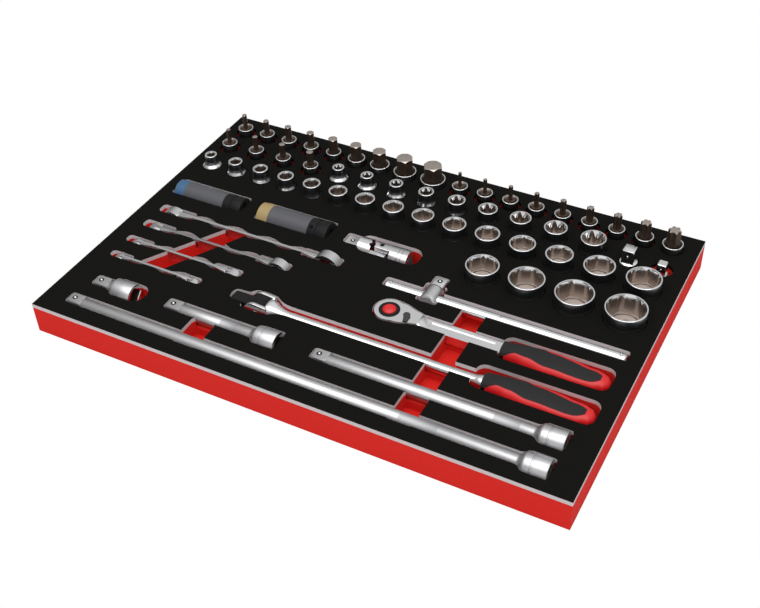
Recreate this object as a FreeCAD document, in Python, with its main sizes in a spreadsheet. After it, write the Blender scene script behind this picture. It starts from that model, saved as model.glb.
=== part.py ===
import FreeCAD, Part
import math
import os
import Sketcher

# Foam tool inlay for a cabinet drawer, with a 1/2 inch drive socket, bit and wrench set.
# Lengths are millimetres. X runs along the long side, Y to the back, Z up.
# The origin is the middle of the underside. Places on the tray are first measured from its
# front left corner and then moved to that origin.

doc = FreeCAD.newDocument("tool_inlay")
sheet = doc.addObject("Spreadsheet::Sheet", "Sizes")

# Driving dimensions of the tray, the sockets and the bits

TRAY_SIZES = {
    "tray_length": 564,
    "tray_width": 380,
    "base_height": 30.5,
    "sheet_thickness": 4.5,
    "pocket_clearance": 0.8,
    "round_clearance": 0.5,
    "seat_gap": 0.3,
    "cutter_radius": 3,
    "end_clearance": 1.8,
    "finger_depth": 21,
}

SOCKET_SIZES = {
    "drive_square": 12.7,
    "square_play": 0.3,
    "square_length": 15.5,
    "socket_length": 38,
    "socket_rise": 14,
    "seat_diameter": 22,
    "seat_height": 25,
    "bell_height": 5,
    "socket_wall": 2.5,
    "star_wall": 2.1,
    "star_seat_share": 1.05,
    "square_depth": 17,
    "bit_rise": 7,
    "holder_diameter": 17.5,
    "holder_wall": 3,
    "holder_seat_height": 20,
    "bit_shank": 10,
    "bit_grip": 14,
    "bit_reach": 17,
    "bit_play": 0.1,
}

ADAPTER_SIZES = {
    "small_square": 9.5,
    "adapter_y": 316.9,
    "adapter_floor": 9,
    "step_up_x": 503.5,
    "step_up_diameter": 19,
    "step_up_height": 26,
    "step_down_x": 537.8,
    "step_down_diameter": 21,
    "step_down_height": 17,
    "step_down_neck_diameter": 13.6,
    "step_down_neck_height": 22,
    "step_down_square_length": 12.5,
}

BAR_SIZES = {
    "long_bar_start": 28,
    "long_bar_y": 25.3,
    "long_bar_length": 506.8,
    "middle_bar_start": 285.9,
    "middle_bar_y": 61,
    "middle_bar_length": 250,
    "short_bar_start": 121.4,
    "short_bar_y": 60.5,
    "short_bar_length": 126,
    "stub_bar_start": 34.6,
    "stub_bar_y": 58.5,
    "stub_bar_length": 47.2,
    "bar_height": 30.5,
    "bar_diameter": 13.6,
    "bar_end_diameter": 24,
    "bar_end_length": 21.5,
    "bar_taper": 8,
    "bar_finger_space": 11,
}

IMPACT_SIZES = {
    "impact_y": 229.6,
    "impact_height": 28.5,
    "impact_length": 85,
    "impact_square_depth": 20,
    "sleeve_wall": 1.6,
    "sleeve_play": 0.1,
    "sleeve_length": 62.5,
    "small_impact_start": 16.3,
    "small_impact_diameter": 26,
    "small_impact_hex": 17,
    "large_impact_start": 123.4,
    "large_impact_diameter": 29,
    "large_impact_hex": 21,
}

JOINT_SIZES = {
    "joint_start": 229.6,
    "joint_y": 228,
    "joint_height": 27,
    "joint_diameter": 24,
    "joint_centre": 41.3,
    "joint_length": 72.4,
    "joint_slot": 11,
    "joint_slot_depth": 13,
    "joint_ear": 10.4,
    "joint_ear_reach": 6.5,
    "joint_ear_length": 11,
    "joint_block": 10.8,
    "joint_pin_diameter": 5,
    "joint_pin_length": 22,
    "pin_play": 0.1,
    "joint_finger_space": 10,
    "joint_clearance": 1.6,
}

CROSS_SIZES = {
    "cross_start": 298.7,
    "cross_y": 182.7,
    "cross_height": 29.5,
    "cross_length": 248.6,
    "cross_diameter": 12,
    "cross_groove_place": 124.3,
    "cross_groove_width": 2.4,
    "cross_groove_depth": 0.8,
    "slider_place": 49,
    "slider_diameter": 20,
    "slider_front": 10.7,
    "slider_back": 14.3,
    "slider_square_length": 13,
    "slider_play": 0.1,
    "slider_notch": 5,
    "slider_clearance": 1.6,
}

RATCHET_SIZES = {
    "ratchet_x": 321.7,
    "ratchet_y": 145.5,
    "ratchet_height": 28,
    "ratchet_head_diameter": 35,
    "ratchet_head_thickness": 15,
    "ratchet_neck_place": 24.6,
    "ratchet_shank_width": 15,
    "ratchet_shank_thickness": 10,
    "ratchet_recess_start": 43.3,
    "ratchet_recess_end": 110,
    "ratchet_recess_width": 7,
    "ratchet_recess_depth": 1.2,
    "ratchet_bore": 21.2,
    "ratchet_gear_play": 0.1,
    "ratchet_gear_top": 5,
    "ratchet_cover_top": 8.2,
    "ratchet_button_diameter": 13.8,
    "ratchet_button_top": 10.5,
    "ratchet_button_depth": 5,
    "ratchet_lever_x": 19.5,
    "ratchet_lever_y": -1.5,
    "ratchet_lever_diameter": 7,
    "ratchet_lever_reach": 9.5,
    "ratchet_lever_thickness": 2,
    "ratchet_lever_pin": 3,
    "ratchet_grip_start": 118.3,
    "ratchet_grip_end": 223.3,
}

BREAKER_SIZES = {
    "breaker_x": 201,
    "breaker_y": 101,
    "breaker_height": 27,
    "breaker_fork_diameter": 26,
    "breaker_fork_width": 28,
    "breaker_slot_width": 13.4,
    "breaker_slot_depth": 12,
    "breaker_fork_length": 13,
    "breaker_shoulder": 26,
    "breaker_shaft_diameter": 11,
    "breaker_pin_diameter": 7,
    "breaker_hub_diameter": 22,
    "breaker_hub_play": 0.2,
    "breaker_square_reach": 30,
    "breaker_collar_diameter": 14.6,
    "breaker_collar_length": 9,
    "breaker_grip_start": 240,
    "breaker_grip_end": 346,
}

GRIP_SIZES = {
    "grip_start_width": 19,
    "grip_waist_width": 21,
    "grip_wave_width": 25,
    "grip_belly_width": 30,
    "grip_tail_width": 25,
    "grip_thickness": 23,
    "grip_core_thickness": 15,
    "grip_collar": 16,
    "grip_tang": 30,
    "grip_play": 0.1,
    "grip_edge": 3,
    "grip_tail_edge": 8,
}

WRENCH_SIZES = {
    "wrench_wave": 1.7,
    "wrench_wave_period": 40,
    "wrench_shank_top": 35.3,
    "wrench_shank_height": 11,
    "wrench_offset": 0.4,
    "wrench_neck_start": 0.6,
    "wrench_neck_end": 1.8,
    "wrench_neck_step": 0.4,
}

# Each ring wrench: left end, right end and y; the rings' diameters and heights; their
# thickness and the shank's; and the sizes of the twelve-sided holes
WRENCHES = {
    "wrench_one": (23, 244.2, 187.5, 29, 31, 22.3, 26.5, 11, 3.2, 18, 21),
    "wrench_two": (22.5, 200.8, 158, 25, 26, 22, 26.5, 10, 3, 16, 17),
    "wrench_three": (22, 161.4, 128.5, 21, 22, 23, 24, 8.5, 2.8, 13, 14),
    "wrench_four": (22.4, 130.5, 100.5, 17, 18, 25, 24.5, 7.5, 2.6, 10, 11),
}
WRENCH_NAMES = (
    "left",
    "right",
    "y",
    "left_ring",
    "right_ring",
    "left_height",
    "right_height",
    "ring_width",
    "shank_width",
    "left_size",
    "right_size",
)

# Each finger recess: left, right, front, back
RECESSES = {
    "recess_one": (384.5, 409.5, 17, 54),
    "recess_two": (384.5, 409.5, 60, 97),
    "recess_three": (384.5, 409.5, 100, 140),
    "recess_four": (384.5, 409.5, 150, 184),
    "recess_five": (156, 182, 17, 53),
}
RECESS_NAMES = ("left", "right", "front", "back")

# The slanted finger band across the wrench slots
BAND_SIZES = {
    "band_front_left": 56,
    "band_front_right": 85,
    "band_back_left": 108.2,
    "band_back_right": 133,
}

ROW_SIZES = {
    "row_one_start": 24.1,
    "row_one_y": 353.5,
    "row_one_web": 7.6,
    "row_two_start": 24.2,
    "row_two_y": 319.4,
    "row_two_web": 14,
    "row_three_start": 25.2,
    "row_three_y": 280.3,
    "row_three_web": 10.9,
    "row_four_start": 381,
    "row_four_y": 231.2,
    "row_four_web": 10.8,
}

HEX_BIT_SIZES = [5, 6, 7, 8, 10, 12, 14, 17, 19]
STAR_BIT_SIZES = [3.94, 4.5, 5.07, 5.6, 6.75, 7.93, 8.95, 11.35, 13.45]
SPLINE_BIT_SIZES = [5, 6, 7, 8]
STAR_SOCKET_SIZES = [9.4, 10.1, 11.2, 12.9, 14.8, 16.7, 18.5, 20.2, 22.2]
HEX_SOCKET_SIZES = [8, 10, 11, 12, 13, 14, 15, 16, 17, 18, 19, 20, 21, 24, 27]
LARGE_SOCKET_SIZES = [26, 28, 30, 32]


class Size:
    """A length: its value now, and the expression that ties it to the sheet."""

    def __init__(self, value, text):
        self.value = float(value)
        self.text = text

    def __add__(self, other):
        other = as_size(other)
        return Size(self.value + other.value, f"({self.text} + {other.text})")

    def __sub__(self, other):
        other = as_size(other)
        return Size(self.value - other.value, f"({self.text} - {other.text})")

    def __mul__(self, factor):
        factor = as_size(factor)
        return Size(self.value * factor.value, f"({self.text} * {factor.text})")

    def __truediv__(self, factor):
        return Size(self.value / factor, f"({self.text} / {factor!r})")

    def __neg__(self):
        return Size(-self.value, f"(0 - {self.text})")


def as_size(value):
    """A Size as it is, or a plain number as a Size."""
    return value if isinstance(value, Size) else Size(value, repr(float(value)))


def larger(one, other):
    """The larger of two sizes."""
    one = as_size(one)
    other = as_size(other)
    return Size(max(one.value, other.value), f"max({one.text}; {other.text})")


next_row = 1


def add_cell(name, value):
    """One row of the sheet: a name, a plain number and the number's alias."""
    global next_row
    sheet.set(f"A{next_row}", name)
    sheet.set(f"B{next_row}", str(value))
    sheet.setAlias(f"B{next_row}", name)
    next_row += 1
    return Size(value, f"Sizes.{name}")


def add_cells(sizes):
    """The Size of each name in a group of driving dimensions."""
    return {name: add_cell(name, value) for name, value in sizes.items()}


def add_table(table, names):
    """One cell for each named size of each row of a table."""
    return {
        key: {name: add_cell(f"{key}_{name}", value) for name, value in zip(names, values)}
        for key, values in table.items()
    }


def add_series(prefix, values):
    """One cell for each size of a series, in order."""
    return [add_cell(f"{prefix}_{i + 1:02d}_size", value) for i, value in enumerate(values)]


tray = add_cells(TRAY_SIZES)
socket = add_cells(SOCKET_SIZES)
row = add_cells(ROW_SIZES)
adapter = add_cells(ADAPTER_SIZES)
bar = add_cells(BAR_SIZES)
impact = add_cells(IMPACT_SIZES)
joint = add_cells(JOINT_SIZES)
cross = add_cells(CROSS_SIZES)
ratchet = add_cells(RATCHET_SIZES)
breaker = add_cells(BREAKER_SIZES)
grip = add_cells(GRIP_SIZES)
wrench = add_cells(WRENCH_SIZES)
hex_bit_sizes = add_series("hex_bit", HEX_BIT_SIZES)
star_bit_sizes = add_series("star_bit", STAR_BIT_SIZES)
spline_bit_sizes = add_series("spline_bit", SPLINE_BIT_SIZES)
star_socket_sizes = add_series("star_socket", STAR_SOCKET_SIZES)
hex_socket_sizes = add_series("hex_socket", HEX_SOCKET_SIZES)
large_socket_sizes = add_series("large_socket", LARGE_SOCKET_SIZES)
wrenches = add_table(WRENCHES, WRENCH_NAMES)
recesses = add_table(RECESSES, RECESS_NAMES)
band = add_cells(BAND_SIZES)
doc.recompute()

HEX_CORNER = 1 / math.cos(math.radians(30))
SQUARE_CORNER = math.sqrt(2)
BORE_CORNER = 1 / math.cos(math.radians(15))
ZERO = Size(0, "0")

tray_top = tray["base_height"] + tray["sheet_thickness"]


# Ways of building that every tool shares


def new_body(name):
    """An empty body whose label is the piece's name."""
    body = doc.addObject("PartDesign::Body", name)
    body.Label = name
    return body


def origin_plane(body, role):
    """The body's own origin plane of the given role."""
    return next(item for item in body.Origin.OriginFeatures if item.Role == role)


def new_sketch(body, role, offset=ZERO):
    """A sketch on one of the body's origin planes, moved along the plane's normal."""
    sketch = body.newObject("Sketcher::SketchObject", body.Name + "_sketch")
    sketch.AttachmentSupport = [(origin_plane(body, role), "")]
    sketch.MapMode = "FlatFace"
    if offset is not ZERO:
        sketch.setExpression("AttachmentOffset.Base.z", offset.text)
    return sketch


def pin_point(sketch, kind, geometry, point, size):
    """Hold one coordinate of a point at a size."""
    index = sketch.addConstraint(Sketcher.Constraint(kind, -1, 1, geometry, point, size.value))
    sketch.setExpression(f"Constraints[{index}]", size.text)


def draw_polygon(sketch, corners):
    """A closed outline of straight lines, each corner held at its two sizes."""
    corners = [(as_size(x), as_size(y)) for x, y in corners]
    points = [FreeCAD.Vector(x.value, y.value, 0) for x, y in corners]
    first = sketch.GeometryCount
    count = len(points)
    for i in range(count):
        sketch.addGeometry(Part.LineSegment(points[i], points[(i + 1) % count]))
    for i in range(count):
        meet = Sketcher.Constraint("Coincident", first + i, 2, first + (i + 1) % count, 1)
        sketch.addConstraint(meet)
    for i, (x, y) in enumerate(corners):
        pin_point(sketch, "DistanceX", first + i, 1, x)
        pin_point(sketch, "DistanceY", first + i, 1, y)


def draw_circle(sketch, x, y, radius):
    """A circle held at its centre and radius."""
    x = as_size(x)
    y = as_size(y)
    centre = FreeCAD.Vector(x.value, y.value, 0)
    circle = Part.Circle(centre, FreeCAD.Vector(0, 0, 1), radius.value)
    index = sketch.addGeometry(circle)
    pin_point(sketch, "DistanceX", index, 3, x)
    pin_point(sketch, "DistanceY", index, 3, y)
    held = sketch.addConstraint(Sketcher.Constraint("Radius", index, radius.value))
    sketch.setExpression(f"Constraints[{held}]", radius.text)


def revolve(body, profile, axis):
    """A turned solid: the profile round the sketch's own axis."""
    turned = body.newObject("PartDesign::Revolution", body.Name + "_turned")
    turned.Profile = profile
    turned.ReferenceAxis = (profile, [axis])
    turned.Angle = 360
    profile.Visibility = False
    return turned


def turn_upright(body, points):
    """A solid turned round Z from (radius, height) points."""
    profile = new_sketch(body, "XZ_Plane")
    draw_polygon(profile, points)
    return revolve(body, profile, "V_Axis")


def turn_lying(body, points):
    """A solid turned round X from (distance along X, radius) points."""
    profile = new_sketch(body, "XZ_Plane")
    draw_polygon(profile, points)
    return revolve(body, profile, "H_Axis")


def place_feature(feature, x, y, z):
    """Move a feature inside its body."""
    for axis, size in zip("xyz", (x, y, z)):
        size = as_size(size)
        if size is not ZERO:
            feature.setExpression(f"Placement.Base.{axis}", size.text)


def add_prism(body, kind, corners, radius, height, z):
    """A regular prism standing on z, added or cut."""
    prism = body.newObject(f"PartDesign::{kind}Prism", body.Name + "_prism")
    prism.Polygon = corners
    prism.setExpression("Circumradius", radius.text)
    prism.setExpression("Height", height.text)
    place_feature(prism, ZERO, ZERO, z)
    return prism


def extrude(body, kind, role, low, thickness, circles=(), outline=None):
    """Pad or pocket circles or one outline from a level of an origin plane, along its normal."""
    low = as_size(low)
    thickness = as_size(thickness)
    sketch = new_sketch(body, role, low if kind == "Pad" else low + thickness)
    for x, y, radius in circles:
        draw_circle(sketch, x, y, radius)
    if outline:
        draw_polygon(sketch, outline)
    feature = body.newObject(f"PartDesign::{kind}", f"{body.Name}_{kind.lower()}")
    feature.Profile = sketch
    feature.setExpression("Length", thickness.text)
    sketch.Visibility = False
    return feature


def extrude_across(body, kind, width, circles=(), outline=None):
    """Pad or pocket a side view evenly to both sides of the body's middle plane."""
    return extrude(body, kind, "XZ_Plane", -width / 2, width, circles, outline)


def extrude_level(body, kind, thickness, circles=(), outline=None):
    """Pad or pocket a plan evenly above and below the body's axis."""
    return extrude(body, kind, "XY_Plane", -thickness / 2, thickness, circles, outline)


def add_box(body, kind, lengths, corner):
    """A box of three lengths from its lowest corner, added or cut."""
    box = body.newObject(f"PartDesign::{kind}Box", body.Name + "_box")
    for name, size in zip(("Length", "Width", "Height"), lengths):
        box.setExpression(name, as_size(size).text)
    place_feature(box, *corner)
    return box


def square_hole_below(body):
    """The drive's square hole in the underside of an upright socket."""
    side = socket["drive_square"] + socket["square_play"]
    corner = (-side / 2, -side / 2, ZERO)
    add_box(body, "Subtractive", (side, side, socket["square_depth"]), corner)


def place_on_tray(thing, x, y, z):
    """Put a piece on the tray: x and y from the front left corner, z from the underside."""
    thing.setExpression("Placement.Base.x", (x - tray["tray_length"] / 2).text)
    thing.setExpression("Placement.Base.y", (y - tray["tray_width"] / 2).text)
    thing.setExpression("Placement.Base.z", as_size(z).text)


def join_group(name, members):
    """One node for a row of like pieces, which stay separate solids."""
    group = doc.addObject("Part::Compound", name)
    group.Label = name
    group.Links = members
    return group


# Upright sockets and bits

socket_floor = tray_top + socket["socket_rise"] - socket["socket_length"]
holder_floor = tray_top + socket["bit_rise"] - socket["socket_length"]
round_pockets = []


def add_round_pocket(x, y, radius, floor):
    """Note the round pocket that an upright piece stands in."""
    round_pockets.append((x, y, radius + tray["round_clearance"], floor - tray["seat_gap"]))


def socket_shape(name, rim, seat, seat_top, bell):
    """A turned blank: a drive end, a bell and a narrower or equal working end."""
    length = socket["socket_length"]
    body = new_body(name)
    if seat.value <= rim.value:
        turn_upright(body, [(ZERO, ZERO), (rim / 2, ZERO), (rim / 2, length), (ZERO, length)])
        return body
    turn_upright(
        body,
        [
            (ZERO, ZERO),
            (seat / 2, ZERO),
            (seat / 2, seat_top),
            (rim / 2, seat_top + bell),
            (rim / 2, length),
            (ZERO, length),
        ],
    )
    return body


def star_points(outer, inner, tip_angle, valley_angle):
    """A six-pointed outline with flat tips and flat valleys."""
    points = []
    for i in range(6):
        for radius, angle in (
            (outer, 60 * i - tip_angle),
            (outer, 60 * i + tip_angle),
            (inner, 60 * i + 30 - valley_angle),
            (inner, 60 * i + 30 + valley_angle),
        ):
            turn = math.radians(angle)
            points.append((radius * round(math.cos(turn), 6), radius * round(math.sin(turn), 6)))
    return points


STAR_VALLEY = 0.72
STAR_TIP_ANGLE = 8
STAR_VALLEY_ANGLE = 9


def star_outline(body, size, height):
    """A sketch of the six-lobed drive at a height in its body."""
    sketch = new_sketch(body, "XY_Plane", height)
    outer = size / 2
    inner = outer * STAR_VALLEY
    draw_polygon(sketch, star_points(outer, inner, STAR_TIP_ANGLE, STAR_VALLEY_ANGLE))
    return sketch


def hex_socket(name, size):
    """A six-sided socket: its hole runs into the square drive hole below."""
    rim = size * HEX_CORNER + socket["socket_wall"] * 2
    seat = larger(socket["seat_diameter"], rim)
    body = socket_shape(name, rim, seat, socket["seat_height"], socket["bell_height"])
    depth = socket["socket_length"] - socket["square_depth"]
    add_prism(body, "Subtractive", 6, size / 2 * HEX_CORNER, depth, socket["square_depth"])
    square_hole_below(body)
    return body, seat


def star_socket(name, size):
    """A socket with a six-lobed hole for star-headed bolts."""
    rim = size + socket["star_wall"] * 2
    seat = larger(socket["seat_diameter"], rim * socket["star_seat_share"])
    body = socket_shape(name, rim, seat, socket["seat_height"], socket["bell_height"])
    sketch = star_outline(body, size, socket["socket_length"])
    bore = body.newObject("PartDesign::Pocket", name + "_bore")
    bore.Profile = sketch
    depth = socket["socket_length"] - socket["square_depth"]
    bore.setExpression("Length", depth.text)
    sketch.Visibility = False
    square_hole_below(body)
    return body, seat


def bit_holder(name, shank):
    """The holder of a bit: a turned blank with a hexagonal seat for the bit's shank."""
    rim = larger(socket["holder_diameter"], shank * HEX_CORNER + socket["holder_wall"] * 2)
    seat = larger(socket["seat_diameter"], rim)
    body = socket_shape(name, rim, seat, socket["holder_seat_height"], ZERO)
    low = socket["socket_length"] - socket["bit_grip"]
    hole = shank + socket["bit_play"]
    add_prism(body, "Subtractive", 6, hole / 2 * HEX_CORNER, socket["bit_grip"], low)
    square_hole_below(body)
    return body, seat


def bit_blank(name, shank):
    """The hexagonal shank of a bit, as long as its seat in the holder."""
    body = new_body(name)
    add_prism(body, "Additive", 6, shank / 2 * HEX_CORNER, socket["bit_grip"], ZERO)
    return body


def hex_bit(name, size, shank):
    """A six-sided bit on its shank."""
    body = bit_blank(name, shank)
    add_prism(body, "Additive", 6, size / 2 * HEX_CORNER, socket["bit_reach"], socket["bit_grip"])
    return body


def star_bit(name, size, shank):
    """A six-lobed bit on its shank."""
    body = bit_blank(name, shank)
    sketch = star_outline(body, size, socket["bit_grip"])
    pad = body.newObject("PartDesign::Pad", name + "_star")
    pad.Profile = sketch
    pad.setExpression("Length", socket["bit_reach"].text)
    sketch.Visibility = False
    return body


def spline_bit(name, size, shank):
    """A twelve-pointed bit: three squares turned by thirty degrees."""
    body = bit_blank(name, shank)
    for angle in (0, 30, 60):
        square = add_prism(
            body, "Additive", 4, size / 2, socket["bit_reach"], socket["bit_grip"]
        )
        square.Placement.Rotation = FreeCAD.Rotation(FreeCAD.Vector(0, 0, 1), angle)
    return body


def next_place(place, width, before, web):
    """The middle of the next piece in a row, one web of foam past the one before."""
    if before is None:
        return place
    return place + (before + width) / 2 + web


def stand_sockets(prefix, make, sizes, start, before, y, web):
    """Stand a run of sockets in a row; gives the bodies and where the row got to."""
    bodies = []
    x = start
    for i, size in enumerate(sizes):
        body, width = make(f"{prefix}_{i + 1:02d}", size)
        x = next_place(x, width, before, web)
        place_on_tray(body, x, y, socket_floor)
        add_round_pocket(x, y, width / 2, socket_floor)
        bodies.append(body)
        before = width
    return bodies, x, before


def stand_bits(prefix, make, sizes, start, before, y, web):
    """Stand a run of bit sockets in a row; gives holders, bits and where the row got to."""
    holders = []
    bits = []
    x = start
    for i, size in enumerate(sizes):
        shank = larger(socket["bit_shank"], size)
        holder, width = bit_holder(f"{prefix}_holder_{i + 1:02d}", shank)
        bit = make(f"{prefix}_{i + 1:02d}", size, shank)
        x = next_place(x, width, before, web)
        place_on_tray(holder, x, y, holder_floor)
        seat = holder_floor + socket["socket_length"] - socket["bit_grip"]
        place_on_tray(bit, x, y, seat)
        add_round_pocket(x, y, width / 2, holder_floor)
        holders.append(holder)
        bits.append(bit)
        before = width
    return holders, bits, x, before


holders, bits, x, before = stand_bits(
    "hex_bit", hex_bit, hex_bit_sizes, row["row_one_start"], None, row["row_one_y"], row["row_one_web"]
)
join_group("hex_bit_holders", holders)
join_group("hex_bits", bits)

holders, bits, x, before = stand_bits(
    "star_bit", star_bit, star_bit_sizes, x, before, row["row_one_y"], row["row_one_web"]
)
join_group("star_bit_holders", holders)
join_group("star_bits", bits)

holders, bits, x, before = stand_bits(
    "spline_bit",
    spline_bit,
    spline_bit_sizes,
    row["row_two_start"],
    None,
    row["row_two_y"],
    row["row_two_web"],
)
join_group("spline_bit_holders", holders)
join_group("spline_bits", bits)

sockets, x, before = stand_sockets(
    "star_socket", star_socket, star_socket_sizes, x, before, row["row_two_y"], row["row_two_web"]
)
join_group("star_sockets", sockets)

sockets, x, before = stand_sockets(
    "hex_socket",
    hex_socket,
    hex_socket_sizes,
    row["row_three_start"],
    None,
    row["row_three_y"],
    row["row_three_web"],
)
join_group("hex_sockets", sockets)

sockets, x, before = stand_sockets(
    "large_socket",
    hex_socket,
    large_socket_sizes,
    row["row_four_start"],
    None,
    row["row_four_y"],
    row["row_four_web"],
)
join_group("large_hex_sockets", sockets)

# Cut-outs of the tools that lie down

lying_pockets = []
CORNER_STEPS = (0, 45, 90)


def rounded_outline(left, right, front, back, radius):
    """A rectangle with rounded corners."""
    points = []
    for x, y, turn in (
        (right - radius, back - radius, 0),
        (left + radius, back - radius, 90),
        (left + radius, front + radius, 180),
        (right - radius, front + radius, 270),
    ):
        for step in CORNER_STEPS:
            angle = math.radians(turn + step)
            across = radius * round(math.cos(angle), 6)
            along = radius * round(math.sin(angle), 6)
            points.append((x + across, y + along))
    return points


def cut_outline(outline, x, y, floor):
    """Note a cut-out with an outline round a place on the tray, from its floor to above the foam."""
    body = new_body(f"cutter_{len(lying_pockets) + 1:02d}")
    extrude(body, "Pad", "XY_Plane", floor, tray_top - floor + 1, outline=outline)
    place_on_tray(body, x, y, ZERO)
    lying_pockets.append(body)


def cut_pocket(left, right, front, back, floor):
    """Note a cut-out with rounded corners."""
    outline = rounded_outline(left, right, front, back, tray["cutter_radius"])
    cut_outline(outline, ZERO, ZERO, floor)


def pocket_round_bar(left, right, y, height, diameter, side_gap=tray["pocket_clearance"]):
    """The cut-out of a round length that lies along X."""
    end_gap = tray["end_clearance"]
    half = diameter / 2 + side_gap
    floor = height - diameter / 2 - tray["seat_gap"]
    cut_pocket(left - end_gap, right + end_gap, y - half, y + half, floor)


# Drive adapters

def square_hole(body, side, depth, z):
    """A square hole round the body's own axis."""
    add_box(body, "Subtractive", (side, side, depth), (-side / 2, -side / 2, z))


def square_post(body, side, length, z):
    """A square drive round the body's own axis."""
    add_box(body, "Additive", (side, side, length), (-side / 2, -side / 2, z))


step_up = new_body("adapter_large")
radius = adapter["step_up_diameter"] / 2
height = adapter["step_up_height"]
turn_upright(step_up, [(ZERO, ZERO), (radius, ZERO), (radius, height), (ZERO, height)])
square_post(step_up, socket["drive_square"], socket["square_length"], height)
square_hole(step_up, adapter["small_square"] + socket["square_play"], height / 2, ZERO)
place_on_tray(step_up, adapter["step_up_x"], adapter["adapter_y"], adapter["adapter_floor"])
add_round_pocket(adapter["step_up_x"], adapter["adapter_y"], radius, adapter["adapter_floor"])

step_down = new_body("adapter_small")
radius = adapter["step_down_diameter"] / 2
height = adapter["step_down_height"]
neck = adapter["step_down_neck_diameter"] / 2
top = adapter["step_down_neck_height"]
turn_upright(
    step_down, [(ZERO, ZERO), (radius, ZERO), (radius, height), (neck, top), (ZERO, top)]
)
square_post(step_down, adapter["small_square"], adapter["step_down_square_length"], top)
square_hole(step_down, socket["drive_square"] + socket["square_play"], height - 2, ZERO)
place_on_tray(step_down, adapter["step_down_x"], adapter["adapter_y"], adapter["adapter_floor"])
add_round_pocket(adapter["step_down_x"], adapter["adapter_y"], radius, adapter["adapter_floor"])


# Extension bars

def drive_post(body, length, x):
    """The square drive on the left end of a lying tool."""
    side = socket["drive_square"]
    add_box(body, "Additive", (length, side, side), (x, -side / 2, -side / 2))


def drive_hole(body, end, depth):
    """The square hole in the right end of a lying tool."""
    side = socket["drive_square"] + socket["square_play"]
    add_box(body, "Subtractive", (depth, side, side), (end - depth, -side / 2, -side / 2))


def extension(name, start, y, length):
    """A turned bar between a square drive and a wider socket end, with its cut-out."""
    body = new_body(name)
    square = socket["square_length"]
    shank = bar["bar_diameter"] / 2
    rim = bar["bar_end_diameter"] / 2
    taper_end = length - bar["bar_end_length"]
    taper_start = taper_end - bar["bar_taper"]
    turn_lying(
        body,
        [
            (square, ZERO),
            (square, shank),
            (taper_start, shank),
            (taper_end, rim),
            (length, rim),
            (length, ZERO),
        ],
    )
    drive_post(body, square, ZERO)
    drive_hole(body, length, socket["square_depth"])
    height = bar["bar_height"]
    place_on_tray(body, start, y, height)
    end = start + length
    pocket_round_bar(start, end, y, height, socket["drive_square"])
    pocket_round_bar(start, end, y, height, bar["bar_diameter"])
    pocket_round_bar(start + taper_start, end, y, height, bar["bar_end_diameter"])
    return body


extension("extension_long", bar["long_bar_start"], bar["long_bar_y"], bar["long_bar_length"])
extension("extension_middle", bar["middle_bar_start"], bar["middle_bar_y"], bar["middle_bar_length"])
extension("extension_short", bar["short_bar_start"], bar["short_bar_y"], bar["short_bar_length"])
extension("extension_stub", bar["stub_bar_start"], bar["stub_bar_y"], bar["stub_bar_length"])
stub_end = bar["stub_bar_start"] + bar["stub_bar_length"]
pocket_round_bar(
    stub_end, stub_end + bar["bar_finger_space"], bar["stub_bar_y"], bar["bar_height"], bar["bar_end_diameter"]
)


# Impact sockets with a sleeve

def impact_socket(label, start, diameter, size):
    """A thin-walled socket for wheel bolts and the sleeve that protects the rim."""
    body = new_body(f"impact_socket_{label}")
    sleeve_length = impact["sleeve_length"]
    length = impact["impact_length"]
    outer = diameter / 2
    core = outer - impact["sleeve_wall"]
    lip = sleeve_length + impact["sleeve_play"]
    turn_lying(
        body,
        [(ZERO, ZERO), (ZERO, core), (lip, core), (lip, outer), (length, outer), (length, ZERO)],
    )
    depth = length - impact["impact_square_depth"]
    bore = add_prism(body, "Subtractive", 6, size / 2 * HEX_CORNER, depth, ZERO)
    bore.Placement.Rotation = FreeCAD.Rotation(FreeCAD.Vector(0, 1, 0), 90)
    drive_hole(body, length, impact["impact_square_depth"])
    sleeve = new_body(f"impact_sleeve_{label}")
    inner = core + impact["sleeve_play"]
    turn_lying(
        sleeve,
        [(ZERO, inner), (ZERO, outer), (sleeve_length, outer), (sleeve_length, inner)],
    )
    for piece in (body, sleeve):
        place_on_tray(piece, start, impact["impact_y"], impact["impact_height"])
    end = start + length
    pocket_round_bar(start, end, impact["impact_y"], impact["impact_height"], diameter)


for label in ("small", "large"):
    impact_socket(
        label,
        impact[f"{label}_impact_start"],
        impact[f"{label}_impact_diameter"],
        impact[f"{label}_impact_hex"],
    )


# Universal joint: two forks round a block, each with its own pin

joint_radius = joint["joint_diameter"] / 2


def clear_fork(body, side, role):
    """Cut the slot of a fork and the flats that leave its two ears."""
    reach = joint["joint_ear_reach"]
    depth = joint["joint_slot_depth"]
    slot = joint["joint_slot"]
    wide = joint["joint_diameter"] + 2
    near = -depth if side < 0 else -reach
    far = reach if side < 0 else depth
    ear = joint["joint_ear"]
    ear_start = -joint["joint_ear_length"] if side < 0 else -reach
    ear_end = reach if side < 0 else joint["joint_ear_length"]
    spare = (wide - ear) / 2
    if role == "sideways":
        add_box(body, "Subtractive", (far - near, slot, wide), (near, -slot / 2, -wide / 2))
        add_box(body, "Subtractive", (ear_end - ear_start, wide, spare), (ear_start, -wide / 2, ear / 2))
        add_box(body, "Subtractive", (ear_end - ear_start, wide, spare), (ear_start, -wide / 2, -wide / 2))
    else:
        add_box(body, "Subtractive", (far - near, wide, slot), (near, -wide / 2, -slot / 2))
        add_box(body, "Subtractive", (ear_end - ear_start, spare, wide), (ear_start, ear / 2, -wide / 2))
        add_box(body, "Subtractive", (ear_end - ear_start, spare, wide), (ear_start, -wide / 2, -wide / 2))


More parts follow.
